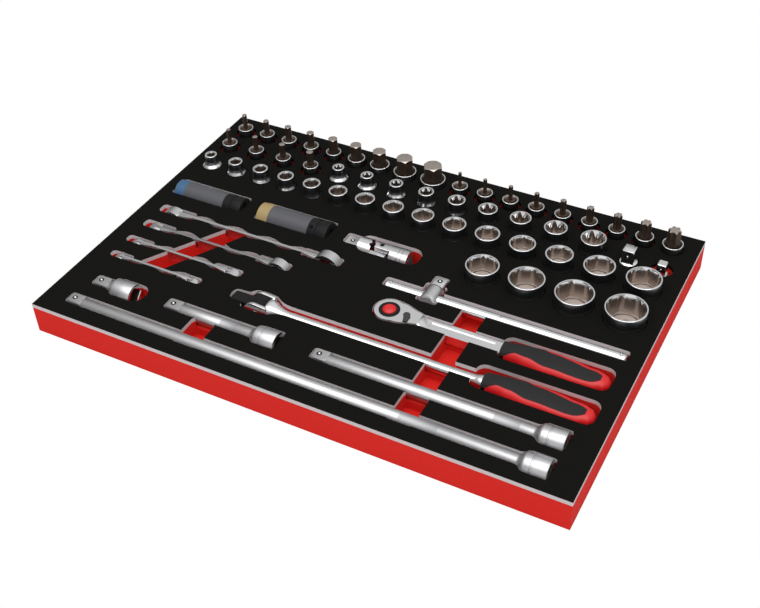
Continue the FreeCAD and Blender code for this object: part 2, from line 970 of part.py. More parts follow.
pin_hole = (joint["joint_pin_diameter"] + joint["pin_play"]) / 2
drive_fork = new_body("joint_drive_fork")
drive_end = -joint["joint_centre"]
fork_start = drive_end + socket["square_length"]
reach = joint["joint_ear_reach"]
turn_lying(
    drive_fork,
    [(fork_start, ZERO), (fork_start, joint_radius), (reach, joint_radius), (reach, ZERO)],
)
clear_fork(drive_fork, -1, "sideways")
drive_post(drive_fork, socket["square_length"], drive_end)
extrude_across(drive_fork, "Pocket", joint["joint_diameter"] + 2, circles=[(ZERO, ZERO, pin_hole)])

socket_fork = new_body("joint_socket_fork")
socket_end = joint["joint_length"] - joint["joint_centre"]
turn_lying(
    socket_fork,
    [(-reach, ZERO), (-reach, joint_radius), (socket_end, joint_radius), (socket_end, ZERO)],
)
clear_fork(socket_fork, 1, "upright")
drive_hole(socket_fork, socket_end, socket["square_depth"])
extrude_level(socket_fork, "Pocket", joint["joint_diameter"] + 2, circles=[(ZERO, ZERO, pin_hole)])

block = new_body("joint_block")
side = joint["joint_block"]
add_box(block, "Additive", (side, side, side), (-side / 2, -side / 2, -side / 2))
pin = joint["joint_pin_diameter"] / 2
extrude_across(block, "Pad", joint["joint_pin_length"], circles=[(ZERO, ZERO, pin)])
extrude_level(block, "Pad", joint["joint_pin_length"], circles=[(ZERO, ZERO, pin)])
joint_x = joint["joint_start"] + joint["joint_centre"]
for piece in (drive_fork, socket_fork, block):
    place_on_tray(piece, joint_x, joint["joint_y"], joint["joint_height"])
joint_end = joint["joint_start"] + joint["joint_length"] + joint["joint_finger_space"]
pocket_round_bar(
    joint["joint_start"] + socket["square_length"],
    joint_end,
    joint["joint_y"],
    joint["joint_height"],
    joint["joint_diameter"],
    joint["joint_clearance"],
)
pocket_round_bar(
    joint["joint_start"],
    joint_end,
    joint["joint_y"],
    joint["joint_height"],
    socket["drive_square"],
    joint["joint_clearance"],
)


# Sliding cross bar

rod = new_body("cross_bar")
radius = cross["cross_diameter"] / 2
groove = cross["cross_groove_place"] - cross["cross_groove_width"] / 2
groove_end = groove + cross["cross_groove_width"]
waist = radius - cross["cross_groove_depth"]
turn_lying(
    rod,
    [
        (ZERO, ZERO),
        (ZERO, radius),
        (groove, radius),
        (groove, waist),
        (groove_end, waist),
        (groove_end, radius),
        (cross["cross_length"], radius),
        (cross["cross_length"], ZERO),
    ],
)
place_on_tray(rod, cross["cross_start"], cross["cross_y"], cross["cross_height"])
pocket_round_bar(
    cross["cross_start"],
    cross["cross_start"] + cross["cross_length"],
    cross["cross_y"],
    cross["cross_height"],
    cross["cross_diameter"],
)

slider = new_body("cross_slider")
slider_radius = cross["slider_diameter"] / 2
front = cross["slider_front"]
back = cross["slider_back"]
extrude(slider, "Pad", "XZ_Plane", -back, front + back, circles=[(ZERO, ZERO, slider_radius)])
side = socket["drive_square"]
add_box(slider, "Additive", (side, cross["slider_square_length"], side), (-side / 2, back, -side / 2))
notch = cross["slider_notch"]
below = -front
extrude(
    slider,
    "Pocket",
    "XY_Plane",
    -slider_radius,
    cross["slider_diameter"],
    outline=[(-notch, below - 1), (notch, below - 1), (ZERO, below + notch / 2)],
)
hole = (cross["cross_diameter"] + cross["slider_play"]) / 2
extrude(
    slider, "Pocket", "YZ_Plane", -slider_radius - 1, cross["slider_diameter"] + 2, circles=[(ZERO, ZERO, hole)]
)
slider_x = cross["cross_start"] + cross["slider_place"]
place_on_tray(slider, slider_x, cross["cross_y"], cross["cross_height"])
gap = tray["pocket_clearance"]
end_gap = tray["end_clearance"]
side_gap = cross["slider_clearance"]
cut_pocket(
    slider_x - slider_radius - side_gap,
    slider_x + slider_radius + side_gap,
    cross["cross_y"] - front - end_gap,
    cross["cross_y"] + back + end_gap,
    cross["cross_height"] - slider_radius - tray["seat_gap"],
)
cut_pocket(
    slider_x - side / 2 - side_gap,
    slider_x + side / 2 + side_gap,
    cross["cross_y"],
    cross["cross_y"] + back + cross["slider_square_length"] + end_gap,
    cross["cross_height"] - side / 2 - tray["seat_gap"],
)


# Grips of the ratchet and the breaker bar

def grip_outline(start, end, spare):
    """Half widths of the grip along its length, as a closed plan."""
    length = end - start
    stations = (
        (start, grip["grip_start_width"]),
        (start + length * 0.14, grip["grip_waist_width"]),
        (start + length * 0.24, grip["grip_wave_width"]),
        (start + length * 0.42, grip["grip_belly_width"]),
        (start + length * 0.62, grip["grip_belly_width"] - 1),
        (start + length * 0.85, grip["grip_tail_width"]),
        (end, grip["grip_tail_width"] - grip["grip_tail_edge"] * 2),
    )
    near = [(x, -(width / 2 - spare)) for x, width in stations]
    far = [(x, width / 2 - spare) for x, width in reversed(stations)]
    return near + far


def make_grip(name, start, end, tang):
    """A grip of two stiff pads that are held by a collar, over a softer core."""
    play = grip["grip_play"]
    split = start + grip["grip_collar"]
    core = new_body(f"{name}_grip_core")
    core_thick = grip["grip_core_thickness"]
    extrude_level(core, "Pad", core_thick, outline=grip_outline(start, end, ZERO))
    wide = grip["grip_belly_width"] + 2
    add_box(
        core,
        "Subtractive",
        (grip["grip_collar"] + play + 1, wide, core_thick),
        (start - 1, -wide / 2, -core_thick / 2),
    )
    pads = new_body(f"{name}_grip_pads")
    thick = grip["grip_thickness"]
    edge = grip["grip_edge"]
    pad = extrude_level(pads, "Pad", thick, outline=grip_outline(start, end - edge, play))
    doc.recompute()
    corners = pads.newObject("PartDesign::Chamfer", f"{name}_grip_edges")
    corners.Base = (pad, level_edges(pad.Shape))
    corners.setExpression("Size", edge.text)
    gap = core_thick + play * 2
    add_box(
        pads,
        "Subtractive",
        (end - split, wide, gap),
        (split, -wide / 2, -gap / 2),
    )
    bore = (tang + play) / 2
    for piece in (core, pads):
        depth = grip["grip_tang"]
        extrude(piece, "Pocket", "YZ_Plane", start - 1, depth + 1 + play, circles=[(ZERO, ZERO, bore)])
    return core, pads


def level_edges(shape):
    """The edges round the top and the bottom of an upright slab."""
    low = shape.BoundBox.ZMin
    high = shape.BoundBox.ZMax
    names = []
    for i, edge in enumerate(shape.Edges):
        heights = [vertex.Z for vertex in edge.Vertexes]
        if max(heights) - min(heights) < 0.001 and min(abs(heights[0] - low), abs(heights[0] - high)) < 0.001:
            names.append(f"Edge{i + 1}")
    return names


def pocket_grip(x, y, height, start, end):
    """The cut-out that a grip lies in, from its front to its end."""
    end_gap = tray["end_clearance"]
    half = grip["grip_belly_width"] / 2 + tray["pocket_clearance"]
    floor = height - grip["grip_thickness"] / 2 - tray["seat_gap"]
    cut_pocket(x + start - end_gap, x + end + end_gap, y - half, y + half, floor)


# Ratchet

ratchet_body = new_body("ratchet_body")
head = ratchet["ratchet_head_diameter"] / 2
head_thick = ratchet["ratchet_head_thickness"]
neck_x = ratchet["ratchet_neck_place"]
shank_half = ratchet["ratchet_shank_width"] / 2
shank_thick = ratchet["ratchet_shank_thickness"]
tang_end = ratchet["ratchet_grip_start"] + grip["grip_tang"]


def neck_outline(spare):
    """The plan between the round head and the shank, grown by some spare room."""
    half_widths = (
        (ZERO, head - 0.5),
        (neck_x * 0.6, head - 3),
        (neck_x, shank_half + 2),
        (neck_x + 8, shank_half),
    )
    front = [(x, -(half + spare)) for x, half in half_widths]
    back = [(x, half + spare) for x, half in reversed(half_widths)]
    return front + back


extrude_level(ratchet_body, "Pad", head_thick, circles=[(ZERO, ZERO, head)])
extrude_level(ratchet_body, "Pad", head_thick, outline=neck_outline(ZERO))
grip_start = ratchet["ratchet_grip_start"]
extrude_level(
    ratchet_body,
    "Pad",
    shank_thick,
    outline=[(neck_x, -shank_half), (grip_start, -shank_half), (grip_start, shank_half), (neck_x, shank_half)],
)
tang = shank_thick / 2
extrude(ratchet_body, "Pad", "YZ_Plane", grip_start - 2, grip["grip_tang"] + 2, circles=[(ZERO, ZERO, tang)])
recess_half = ratchet["ratchet_recess_width"] / 2
extrude(
    ratchet_body,
    "Pocket",
    "XY_Plane",
    tang - ratchet["ratchet_recess_depth"],
    ratchet["ratchet_recess_depth"] + 1,
    outline=[
        (ratchet["ratchet_recess_start"], -recess_half),
        (ratchet["ratchet_recess_end"], -recess_half),
        (ratchet["ratchet_recess_end"], recess_half),
        (ratchet["ratchet_recess_start"], recess_half),
    ],
)
bore = ratchet["ratchet_bore"] / 2
extrude_level(ratchet_body, "Pocket", head_thick + 2, circles=[(ZERO, ZERO, bore)])
lever_x = ratchet["ratchet_lever_x"]
lever_y = ratchet["ratchet_lever_y"]
lever_pin = ratchet["ratchet_lever_pin"] / 2
pin_depth = head_thick / 2
extrude(
    ratchet_body,
    "Pocket",
    "XY_Plane",
    head_thick / 2 - pin_depth,
    pin_depth + 1,
    circles=[(lever_x, lever_y, lever_pin + ratchet["ratchet_gear_play"] / 2)],
)

gear = new_body("ratchet_drive")
gear_radius = bore - ratchet["ratchet_gear_play"] / 2
gear_low = -head_thick / 2
gear_top = ratchet["ratchet_gear_top"]
button_radius = ratchet["ratchet_button_diameter"] / 2
button_hole = button_radius + ratchet["ratchet_gear_play"] / 2
button_floor = gear_top - ratchet["ratchet_button_depth"]
extrude(gear, "Pad", "XY_Plane", gear_low, gear_top - gear_low, circles=[(ZERO, ZERO, gear_radius)])
side = socket["drive_square"]
square_post(gear, side, socket["square_length"], gear_low - socket["square_length"])
extrude(
    gear,
    "Pocket",
    "XY_Plane",
    button_floor - 2,
    ratchet["ratchet_button_depth"] + 3,
    circles=[(ZERO, ZERO, button_hole)],
)

cover = new_body("ratchet_cover")
cover_low = gear_top + ratchet["ratchet_gear_play"] * 3
cover_thick = ratchet["ratchet_cover_top"] - cover_low
extrude(cover, "Pad", "XY_Plane", cover_low, cover_thick, circles=[(ZERO, ZERO, gear_radius)])
extrude(cover, "Pocket", "XY_Plane", cover_low, cover_thick, circles=[(ZERO, ZERO, button_hole)])

button = new_body("ratchet_button")
button_top = ratchet["ratchet_button_top"]
turn_upright(
    button,
    [
        (ZERO, button_floor),
        (button_radius, button_floor),
        (button_radius, button_top - 2),
        (button_radius * 0.6, button_top),
        (ZERO, button_top),
    ],
)

lever = new_body("ratchet_lever")
lever_radius = ratchet["ratchet_lever_diameter"] / 2
lever_low = head_thick / 2 + tray["seat_gap"]
lever_thick = ratchet["ratchet_lever_thickness"]
extrude(lever, "Pad", "XY_Plane", lever_low, lever_thick, circles=[(ZERO, ZERO, lever_radius)])
extrude(
    lever,
    "Pad",
    "XY_Plane",
    lever_low,
    lever_thick,
    outline=[
        (-lever_radius * 0.6, ZERO),
        (ZERO, -ratchet["ratchet_lever_reach"]),
        (lever_radius, -ratchet["ratchet_lever_reach"]),
        (lever_radius * 0.9, ZERO),
    ],
)
pin_low = head_thick / 2 - pin_depth + 1
extrude(lever, "Pad", "XY_Plane", pin_low, lever_low - pin_low, circles=[(ZERO, ZERO, lever_pin)])

ratchet_core, ratchet_pads = make_grip("ratchet", grip_start, ratchet["ratchet_grip_end"], shank_thick)
for piece in (ratchet_body, gear, cover, button, ratchet_core, ratchet_pads):
    place_on_tray(piece, ratchet["ratchet_x"], ratchet["ratchet_y"], ratchet["ratchet_height"])
place_on_tray(lever, ratchet["ratchet_x"] + lever_x, ratchet["ratchet_y"] + lever_y, ratchet["ratchet_height"])

x = ratchet["ratchet_x"]
y = ratchet["ratchet_y"]
height = ratchet["ratchet_height"]
round_pockets.append((x, y, head + gap, height - head_thick / 2 - tray["seat_gap"]))
round_pockets.append((x, y, side / 2 * SQUARE_CORNER + gap, height + gear_low - socket["square_length"] - tray["seat_gap"]))
head_floor = height - head_thick / 2 - tray["seat_gap"]
cut_outline(neck_outline(gap * 2), x, y, head_floor)
cut_pocket(x, x + grip_start, y - shank_half - gap, y + shank_half + gap, head_floor)
pocket_grip(x, y, height, grip_start, ratchet["ratchet_grip_end"])


# Breaker bar

fork = new_body("breaker_bar")
fork_radius = breaker["breaker_fork_diameter"] / 2
fork_width = breaker["breaker_fork_width"]
fork_end = breaker["breaker_fork_length"]
shoulder = breaker["breaker_shoulder"]
shaft = breaker["breaker_shaft_diameter"] / 2
grip_start = breaker["breaker_grip_start"]
collar = breaker["breaker_collar_diameter"] / 2
extrude_across(fork, "Pad", fork_width, circles=[(ZERO, ZERO, fork_radius)])
extrude_across(
    fork,
    "Pad",
    fork_width,
    outline=[
        (ZERO, -fork_radius + 0.2),
        (fork_end, -fork_radius + 0.2),
        (fork_end, fork_radius - 0.2),
        (ZERO, fork_radius - 0.2),
    ],
)
profile = new_sketch(fork, "XZ_Plane")
draw_polygon(
    profile,
    [
        (fork_end - 1, ZERO),
        (fork_end - 1, fork_radius - 1),
        (shoulder, shaft + 1),
        (shoulder + 4, shaft),
        (grip_start - breaker["breaker_collar_length"], shaft),
        (grip_start - breaker["breaker_collar_length"] / 3, collar),
        (grip_start, collar),
        (grip_start, shaft),
        (grip_start + grip["grip_tang"], shaft),
        (grip_start + grip["grip_tang"], ZERO),
    ],
)
revolve(fork, profile, "H_Axis")
slot = breaker["breaker_slot_width"]
slot_end = breaker["breaker_slot_depth"]
add_box(
    fork,
    "Subtractive",
    (fork_radius + slot_end + 1, slot, fork_radius * 2 + 2),
    (-fork_radius - 1, -slot / 2, -fork_radius - 1),
)
pin_radius = breaker["breaker_pin_diameter"] / 2
pin_hole = pin_radius + joint["pin_play"] / 2
extrude_across(fork, "Pocket", fork_width + 2, circles=[(ZERO, ZERO, pin_hole)])

hub = new_body("breaker_head")
hub_width = slot - breaker["breaker_hub_play"]
hub_radius = breaker["breaker_hub_diameter"] / 2
extrude_across(hub, "Pad", hub_width, circles=[(ZERO, ZERO, hub_radius)])
side = socket["drive_square"]
add_box(
    hub,
    "Additive",
    (breaker["breaker_square_reach"] - hub_radius / 2, side, side),
    (-breaker["breaker_square_reach"], -side / 2, -side / 2),
)
extrude_across(hub, "Pocket", fork_width, circles=[(ZERO, ZERO, pin_hole)])

breaker_pin = new_body("breaker_pin")
extrude_across(breaker_pin, "Pad", fork_width - 1, circles=[(ZERO, ZERO, pin_radius)])

breaker_core, breaker_pads = make_grip(
    "breaker", grip_start, breaker["breaker_grip_end"], breaker["breaker_shaft_diameter"]
)
x = breaker["breaker_x"]
y = breaker["breaker_y"]
height = breaker["breaker_height"]
for piece in (fork, hub, breaker_pin, breaker_core, breaker_pads):
    place_on_tray(piece, x, y, height)
half = fork_width / 2 + gap
floor = height - fork_radius - tray["seat_gap"]
cut_pocket(
    x - breaker["breaker_square_reach"] - end_gap, x, y - side / 2 - gap, y + side / 2 + gap, floor
)
cut_pocket(x - fork_radius - end_gap, x + shoulder + 4 + gap, y - half, y + half, floor)
shaft_half = shaft + gap * 1.6
floor = height - shaft - tray["seat_gap"]
cut_pocket(x, x + grip_start, y - shaft_half, y + shaft_half, floor)
pocket_grip(x, y, height, grip_start - breaker["breaker_collar_length"], breaker["breaker_grip_end"])


# Ring wrenches that stand on edge, in slots with wavy sides

def wrench_ends(sizes):
    """The middle, height, radius and hole of each ring, and the way to the shank."""
    left_radius = sizes["left_ring"] / 2
    right_radius = sizes["right_ring"] / 2
    return (
        (sizes["left"] + left_radius, sizes["left_height"], left_radius, sizes["left_size"], 1),
        (sizes["right"] - right_radius, sizes["right_height"], right_radius, sizes["right_size"], -1),
    )


def ring_wrench(name, sizes):
    """A double ring wrench: two rings with twelve-sided holes, necks and a thin shank."""
    body = new_body(name)
    ends = wrench_ends(sizes)
    width = sizes["ring_width"]
    thin = sizes["shank_width"]
    top = wrench["wrench_shank_top"]
    low = top - wrench["wrench_shank_height"]
    offset = wrench["wrench_offset"]
    first = ends[0][0]
    last = ends[1][0]
    shank = [(first, low), (last, low), (last, top), (first, top)]
    extrude_across(body, "Pad", thin, outline=shank)
    for x, height, radius, size, way in ends:
        wide_x = x + radius * wrench["wrench_neck_start"] * way
        thin_x = x + radius * wrench["wrench_neck_end"] * way
        wide = width / 2 - wrench["wrench_neck_step"]
        neck = [
            (wide_x, offset - wide),
            (thin_x, -thin / 2),
            (thin_x, thin / 2),
            (wide_x, offset + wide),
        ]
        neck_height = wrench["wrench_shank_height"] - wrench["wrench_neck_step"] * 2
        extrude(body, "Pad", "XY_Plane", low + wrench["wrench_neck_step"], neck_height, outline=neck)
    for x, height, radius, size, way in ends:
        extrude(body, "Pad", "XZ_Plane", -width / 2 - offset, width, circles=[(x, height, radius)])
        bore = add_prism(body, "Subtractive", 12, size / 2 * BORE_CORNER, width * 2, ZERO)
        bore.Placement.Rotation = FreeCAD.Rotation(FreeCAD.Vector(1, 0, 0), -90)
        place_feature(bore, x, -width, height)
    place_on_tray(body, ZERO, sizes["y"], ZERO)
    return body


WAVE_STEPS = 6


def wrench_slot(sizes):
    """The slot of a wrench: a wavy middle and wider ends for the rings and necks."""
    gap = tray["pocket_clearance"]
    end_gap = tray["end_clearance"]
    y = sizes["y"]
    offset = wrench["wrench_offset"]
    half = sizes["ring_width"] / 2 + gap
    ends = wrench_ends(sizes)
    for x, height, radius, size, way in ends:
        outer = x - (radius + end_gap) * way
        inner = x + (radius * wrench["wrench_neck_end"] + end_gap) * way
        left, right = (outer, inner) if way > 0 else (inner, outer)
        floor = height - radius - tray["seat_gap"]
        cut_pocket(left, right, y + offset - half, y + offset + half, floor)
    start = ends[0][0].value
    end = ends[1][0].value
    wave = wrench["wrench_wave"].value
    half = sizes["shank_width"].value / 2 + gap.value / 2 + wave
    period = wrench["wrench_wave_period"].value
    count = max(2, round((end - start) / period * WAVE_STEPS))
    near = []
    far = []
    for i in range(count + 1):
        along = start + (end - start) * i / count
        across = y.value + wave * math.cos(2 * math.pi * (along - start) / period)
        near.append(FreeCAD.Vector(along, across - half, 0))
        far.append(FreeCAD.Vector(along, across + half, 0))
    outline = near + far[::-1]
    face = Part.Face(Part.makePolygon(outline + outline[:1]))
    floor = (wrench["wrench_shank_top"] - wrench["wrench_shank_height"] - tray["seat_gap"]).value
    cutter = doc.addObject("Part::Feature", "wavy_cutter")
    cutter.Shape = face.extrude(FreeCAD.Vector(0, 0, tray_top.value + 1 - floor))
    cutter.Placement.Base.z = floor
    cutter.setExpression("Placement.Base.x", (-tray["tray_length"] / 2).text)
    cutter.setExpression("Placement.Base.y", (-tray["tray_width"] / 2).text)
    lying_pockets.append(cutter)


for name, sizes in wrenches.items():
    ring_wrench(name, sizes)
    wrench_slot(sizes)


# Foam: one set of cutters goes through both layers

for sizes in recesses.values():
    cut_pocket(sizes["left"], sizes["right"], sizes["front"], sizes["back"], tray_top - tray["finger_depth"])

band_front = wrenches["wrench_four"]["y"]
band_back = wrenches["wrench_one"]["y"]
cut_outline(
    [
        (band["band_front_left"], band_front),
        (band["band_front_right"], band_front),
        (band["band_back_right"], band_back),
        (band["band_back_left"], band_back),
    ],
    ZERO,
    ZERO,
    tray_top - tray["finger_depth"],
)

POCKET_SIDES = 12
for i, (x, y, radius, floor) in enumerate(round_pockets):
    cutter = doc.addObject("Part::Prism", f"round_cutter_{i + 1:02d}")
    cutter.Polygon = POCKET_SIDES
    cutter.setExpression("Circumradius", (radius / math.cos(math.pi / POCKET_SIDES)).text)
    cutter.setExpression("Height", (tray_top - floor + 1).text)
    place_on_tray(cutter, x, y, floor)
    lying_pockets.append(cutter)

pockets = doc.addObject("Part::MultiFuse", "pockets")
pockets.Shapes = lying_pockets


def foam_layer(name, low, thickness):
    """One layer of foam with every cut-out."""
    block = doc.addObject("Part::Box", f"{name}_block")
    block.setExpression("Length", tray["tray_length"].text)
    block.setExpression("Width", tray["tray_width"].text)
    block.setExpression("Height", thickness.text)
    place_on_tray(block, ZERO, ZERO, low)
    layer = doc.addObject("Part::Cut", name)
    layer.Base = block
    layer.Tool = pockets
    layer.Label = name
    return layer


foam_layer("foam_base", ZERO, tray["base_height"])
foam_layer("foam_top", tray["base_height"], tray["sheet_thickness"])
doc.recompute()


# Checks, and one file for each piece

NODES = (
    "foam_base foam_top hex_bit_holders hex_bits star_bit_holders star_bits spline_bit_holders spline_bits"
    " star_sockets hex_sockets large_hex_sockets adapter_large adapter_small"
    " impact_socket_small impact_sleeve_small impact_socket_large impact_sleeve_large"
    " extension_long extension_middle extension_short extension_stub"
    " joint_drive_fork joint_block joint_socket_fork cross_bar cross_slider"
    " ratchet_body ratchet_drive ratchet_cover ratchet_button ratchet_lever"
    " ratchet_grip_core ratchet_grip_pads breaker_bar breaker_head breaker_pin"
    " breaker_grip_core breaker_grip_pads wrench_one wrench_two wrench_three wrench_four"
).split()

for item in doc.Objects:
    if {"Invalid", "Error"} & set(item.State):
        raise RuntimeError(f"{item.Name} did not build: {item.State}")
    if hasattr(item, "Shape") and item.TypeId.startswith(("Part::", "PartDesign::")):
        if item.Shape.isNull() or not item.Shape.isValid():
            raise RuntimeError(f"{item.Name} has no valid shape")

os.makedirs("parts", exist_ok=True)
for name in NODES:
    node = doc.getObject(name)
    node.Shape.exportStep(f"parts/{name}.step")
    print(name, len(node.Shape.Solids), round(node.Shape.Volume))
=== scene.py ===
import math

import bmesh
import bpy
from mathutils import Matrix, Vector


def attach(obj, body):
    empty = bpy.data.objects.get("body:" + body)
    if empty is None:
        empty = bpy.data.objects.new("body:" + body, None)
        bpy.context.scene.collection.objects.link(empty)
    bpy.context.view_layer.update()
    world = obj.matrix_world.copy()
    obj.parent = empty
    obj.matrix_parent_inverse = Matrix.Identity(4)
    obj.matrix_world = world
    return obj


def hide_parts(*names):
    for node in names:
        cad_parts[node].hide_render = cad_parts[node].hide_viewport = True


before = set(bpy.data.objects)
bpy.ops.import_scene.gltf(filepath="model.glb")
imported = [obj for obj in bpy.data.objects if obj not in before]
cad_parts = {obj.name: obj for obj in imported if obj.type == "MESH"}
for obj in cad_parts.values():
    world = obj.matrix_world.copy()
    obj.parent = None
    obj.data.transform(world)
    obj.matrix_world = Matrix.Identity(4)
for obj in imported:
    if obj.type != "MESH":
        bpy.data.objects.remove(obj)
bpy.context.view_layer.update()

MM = 0.001
WIDTH, DEPTH = 564, 380
TRAY = Vector((WIDTH / 2, DEPTH / 2, 0))
BASE_TOP = 30.5
FOAM_TOP = 35.0


def on_tray(x, y, z):
    """A place given in tray millimetres, as metres from the middle of the tray."""
    return (Vector((x, y, z)) - TRAY) * MM


# Materials


def principled(name, color, rough, metal=0.0, **more):
    """A material; further inputs of the shader are given with _ for a space."""
    mat = bpy.data.materials.new(name)
    mat.use_nodes = True
    node = mat.node_tree.nodes["Principled BSDF"]
    node.inputs["Base Color"].default_value = (*color, 1)
    node.inputs["Roughness"].default_value = rough
    node.inputs["Metallic"].default_value = metal
    for key, value in more.items():
        node.inputs[key.replace("_", " ")].default_value = value
    return mat


NOISE_DETAIL = 4
BUMP_HEIGHT = 0.0002


def add_noise(mat, scale, color_share=0.0, rough_share=0.0, bump=0.0):
    """Object-space noise that varies colour and roughness and lifts a fine bump."""
    tree = mat.node_tree
    shader = tree.nodes["Principled BSDF"]
    coord = tree.nodes.new("ShaderNodeTexCoord")
    noise = tree.nodes.new("ShaderNodeTexNoise")
    noise.inputs["Scale"].default_value = scale
    noise.inputs["Detail"].default_value = NOISE_DETAIL
    tree.links.new(coord.outputs["Object"], noise.inputs["Vector"])
    if color_share:
        base = tuple(shader.inputs["Base Color"].default_value)
        mix = tree.nodes.new("ShaderNodeMix")
        mix.data_type = "RGBA"
        mix.inputs[6].default_value = tuple(c * (1 - color_share) for c in base[:3]) + (1,)
        mix.inputs[7].default_value = tuple(min(1, c * (1 + color_share)) for c in base[:3]) + (1,)
        tree.links.new(noise.outputs["Fac"], mix.inputs[0])
        tree.links.new(mix.outputs[2], shader.inputs["Base Color"])
    if rough_share:
        rough = shader.inputs["Roughness"].default_value
        ramp = tree.nodes.new("ShaderNodeMapRange")
        ramp.inputs["To Min"].default_value = max(0.02, rough - rough_share)
        ramp.inputs["To Max"].default_value = rough + rough_share
        tree.links.new(noise.outputs["Fac"], ramp.inputs["Value"])
        tree.links.new(ramp.outputs["Result"], shader.inputs["Roughness"])
    if bump:
        lift = tree.nodes.new("ShaderNodeBump")
        lift.inputs["Strength"].default_value = bump
        lift.inputs["Distance"].default_value = BUMP_HEIGHT
        tree.links.new(noise.outputs["Fac"], lift.inputs["Height"])
        tree.links.new(lift.outputs["Normal"], shader.inputs["Normal"])
    return mat


BLACK_FOAM = add_noise(
    principled("black_foam", (0.0060, 0.0058, 0.0050), 0.9, Specular_IOR_Level=0.06), 900, 0.25, 0.05, 0.35
)
FOAM_EDGE = add_noise(
    principled("foam_edge", (0.58, 0.53, 0.54), 0.9, Specular_IOR_Level=0.1), 700, 0.12, 0.0, 0.3
)
RED_FOAM = add_noise(
    principled("red_foam", (0.66, 0.020, 0.014), 0.85, Specular_IOR_Level=0.15), 600, 0.12, 0.0, 0.3
)
CHROME = add_noise(principled("chrome", (0.80, 0.80, 0.81), 0.14, 1.0), 60, 0.0, 0.05)
BRUSHED = add_noise(principled("brushed_chrome", (0.58, 0.58, 0.59), 0.38, 1.0), 300, 0.05, 0.05)
SATIN = add_noise(principled("satin_chrome", (0.63, 0.63, 0.64), 0.25, 1.0), 260, 0.05, 0.05)
MATTE_BAND = add_noise(principled("matte_band", (0.46, 0.46, 0.47), 0.55, 1.0), 900, 0.1, 0.05, 0.2)
# Chrome painted darker, as painted shade: the sides and undersides of upright pieces, which mirror the black
# foam, and thin groove rings
SHADED_CHROME = add_noise(principled("shaded_chrome", (0.155, 0.16, 0.168), 0.33, 1.0), 80, 0.05, 0.04)
BIT_STEEL = add_noise(principled("bit_steel", (0.50, 0.44, 0.395), 0.34, 1.0), 400, 0.1, 0.05)
# Steel inside bores and holes, painted darker as painted shade; the bore floor is the same steel painted
# lighter, as painted light on faces that look up
SHADED_BORE = add_noise(principled("bore", (0.29, 0.24, 0.208), 0.38, 1.0), 300, 0.12, 0.05)
LIT_BORE_FLOOR = add_noise(principled("lit_bore_floor", (0.80, 0.74, 0.70), 0.5, 1.0), 300, 0.08, 0.05)
# Bit sides: the bits' brownish steel painted darker, as painted shade and the black foam they mirror
SHADED_BIT_SIDE = add_noise(principled("shaded_bit_side", (0.115, 0.082, 0.062), 0.42, 0.9), 400, 0.12, 0.05)
BLACK_STEEL = add_noise(
    principled("black_steel", (0.010, 0.010, 0.011), 0.45, Specular_IOR_Level=0.15), 500, 0.2, 0.06, 0.12
)
LEVER = add_noise(principled("lever_steel", (0.07, 0.07, 0.066), 0.45, 0.7), 1500, 0.5, 0.1, 0.3)
SLEEVE = add_noise(principled("sleeve", (0.080, 0.081, 0.090), 0.45), 700, 0.08, 0.05, 0.1)
BLUE = add_noise(principled("blue_ring", (0.040, 0.115, 0.23), 0.45), 500, 0.08, 0.05, 0.05)
GOLD = add_noise(principled("gold_ring", (0.36, 0.26, 0.11), 0.45), 500, 0.08, 0.05, 0.05)
RED = add_noise(principled("red_plastic", (0.62, 0.012, 0.014), 0.4), 300, 0.06, 0.05, 0.05)
CHARCOAL = add_noise(
    principled("charcoal_grip", (0.018, 0.018, 0.019), 0.65, Specular_IOR_Level=0.2), 900, 0.15, 0.06, 0.3
)
# A near-black disc stands for the large impact socket's cross hole: painted shade, as the hole is not cut
HOLE_SHADE = principled("hole_shade", (0.004, 0.004, 0.004), 0.8, Specular_IOR_Level=0.1)


# Building meshes


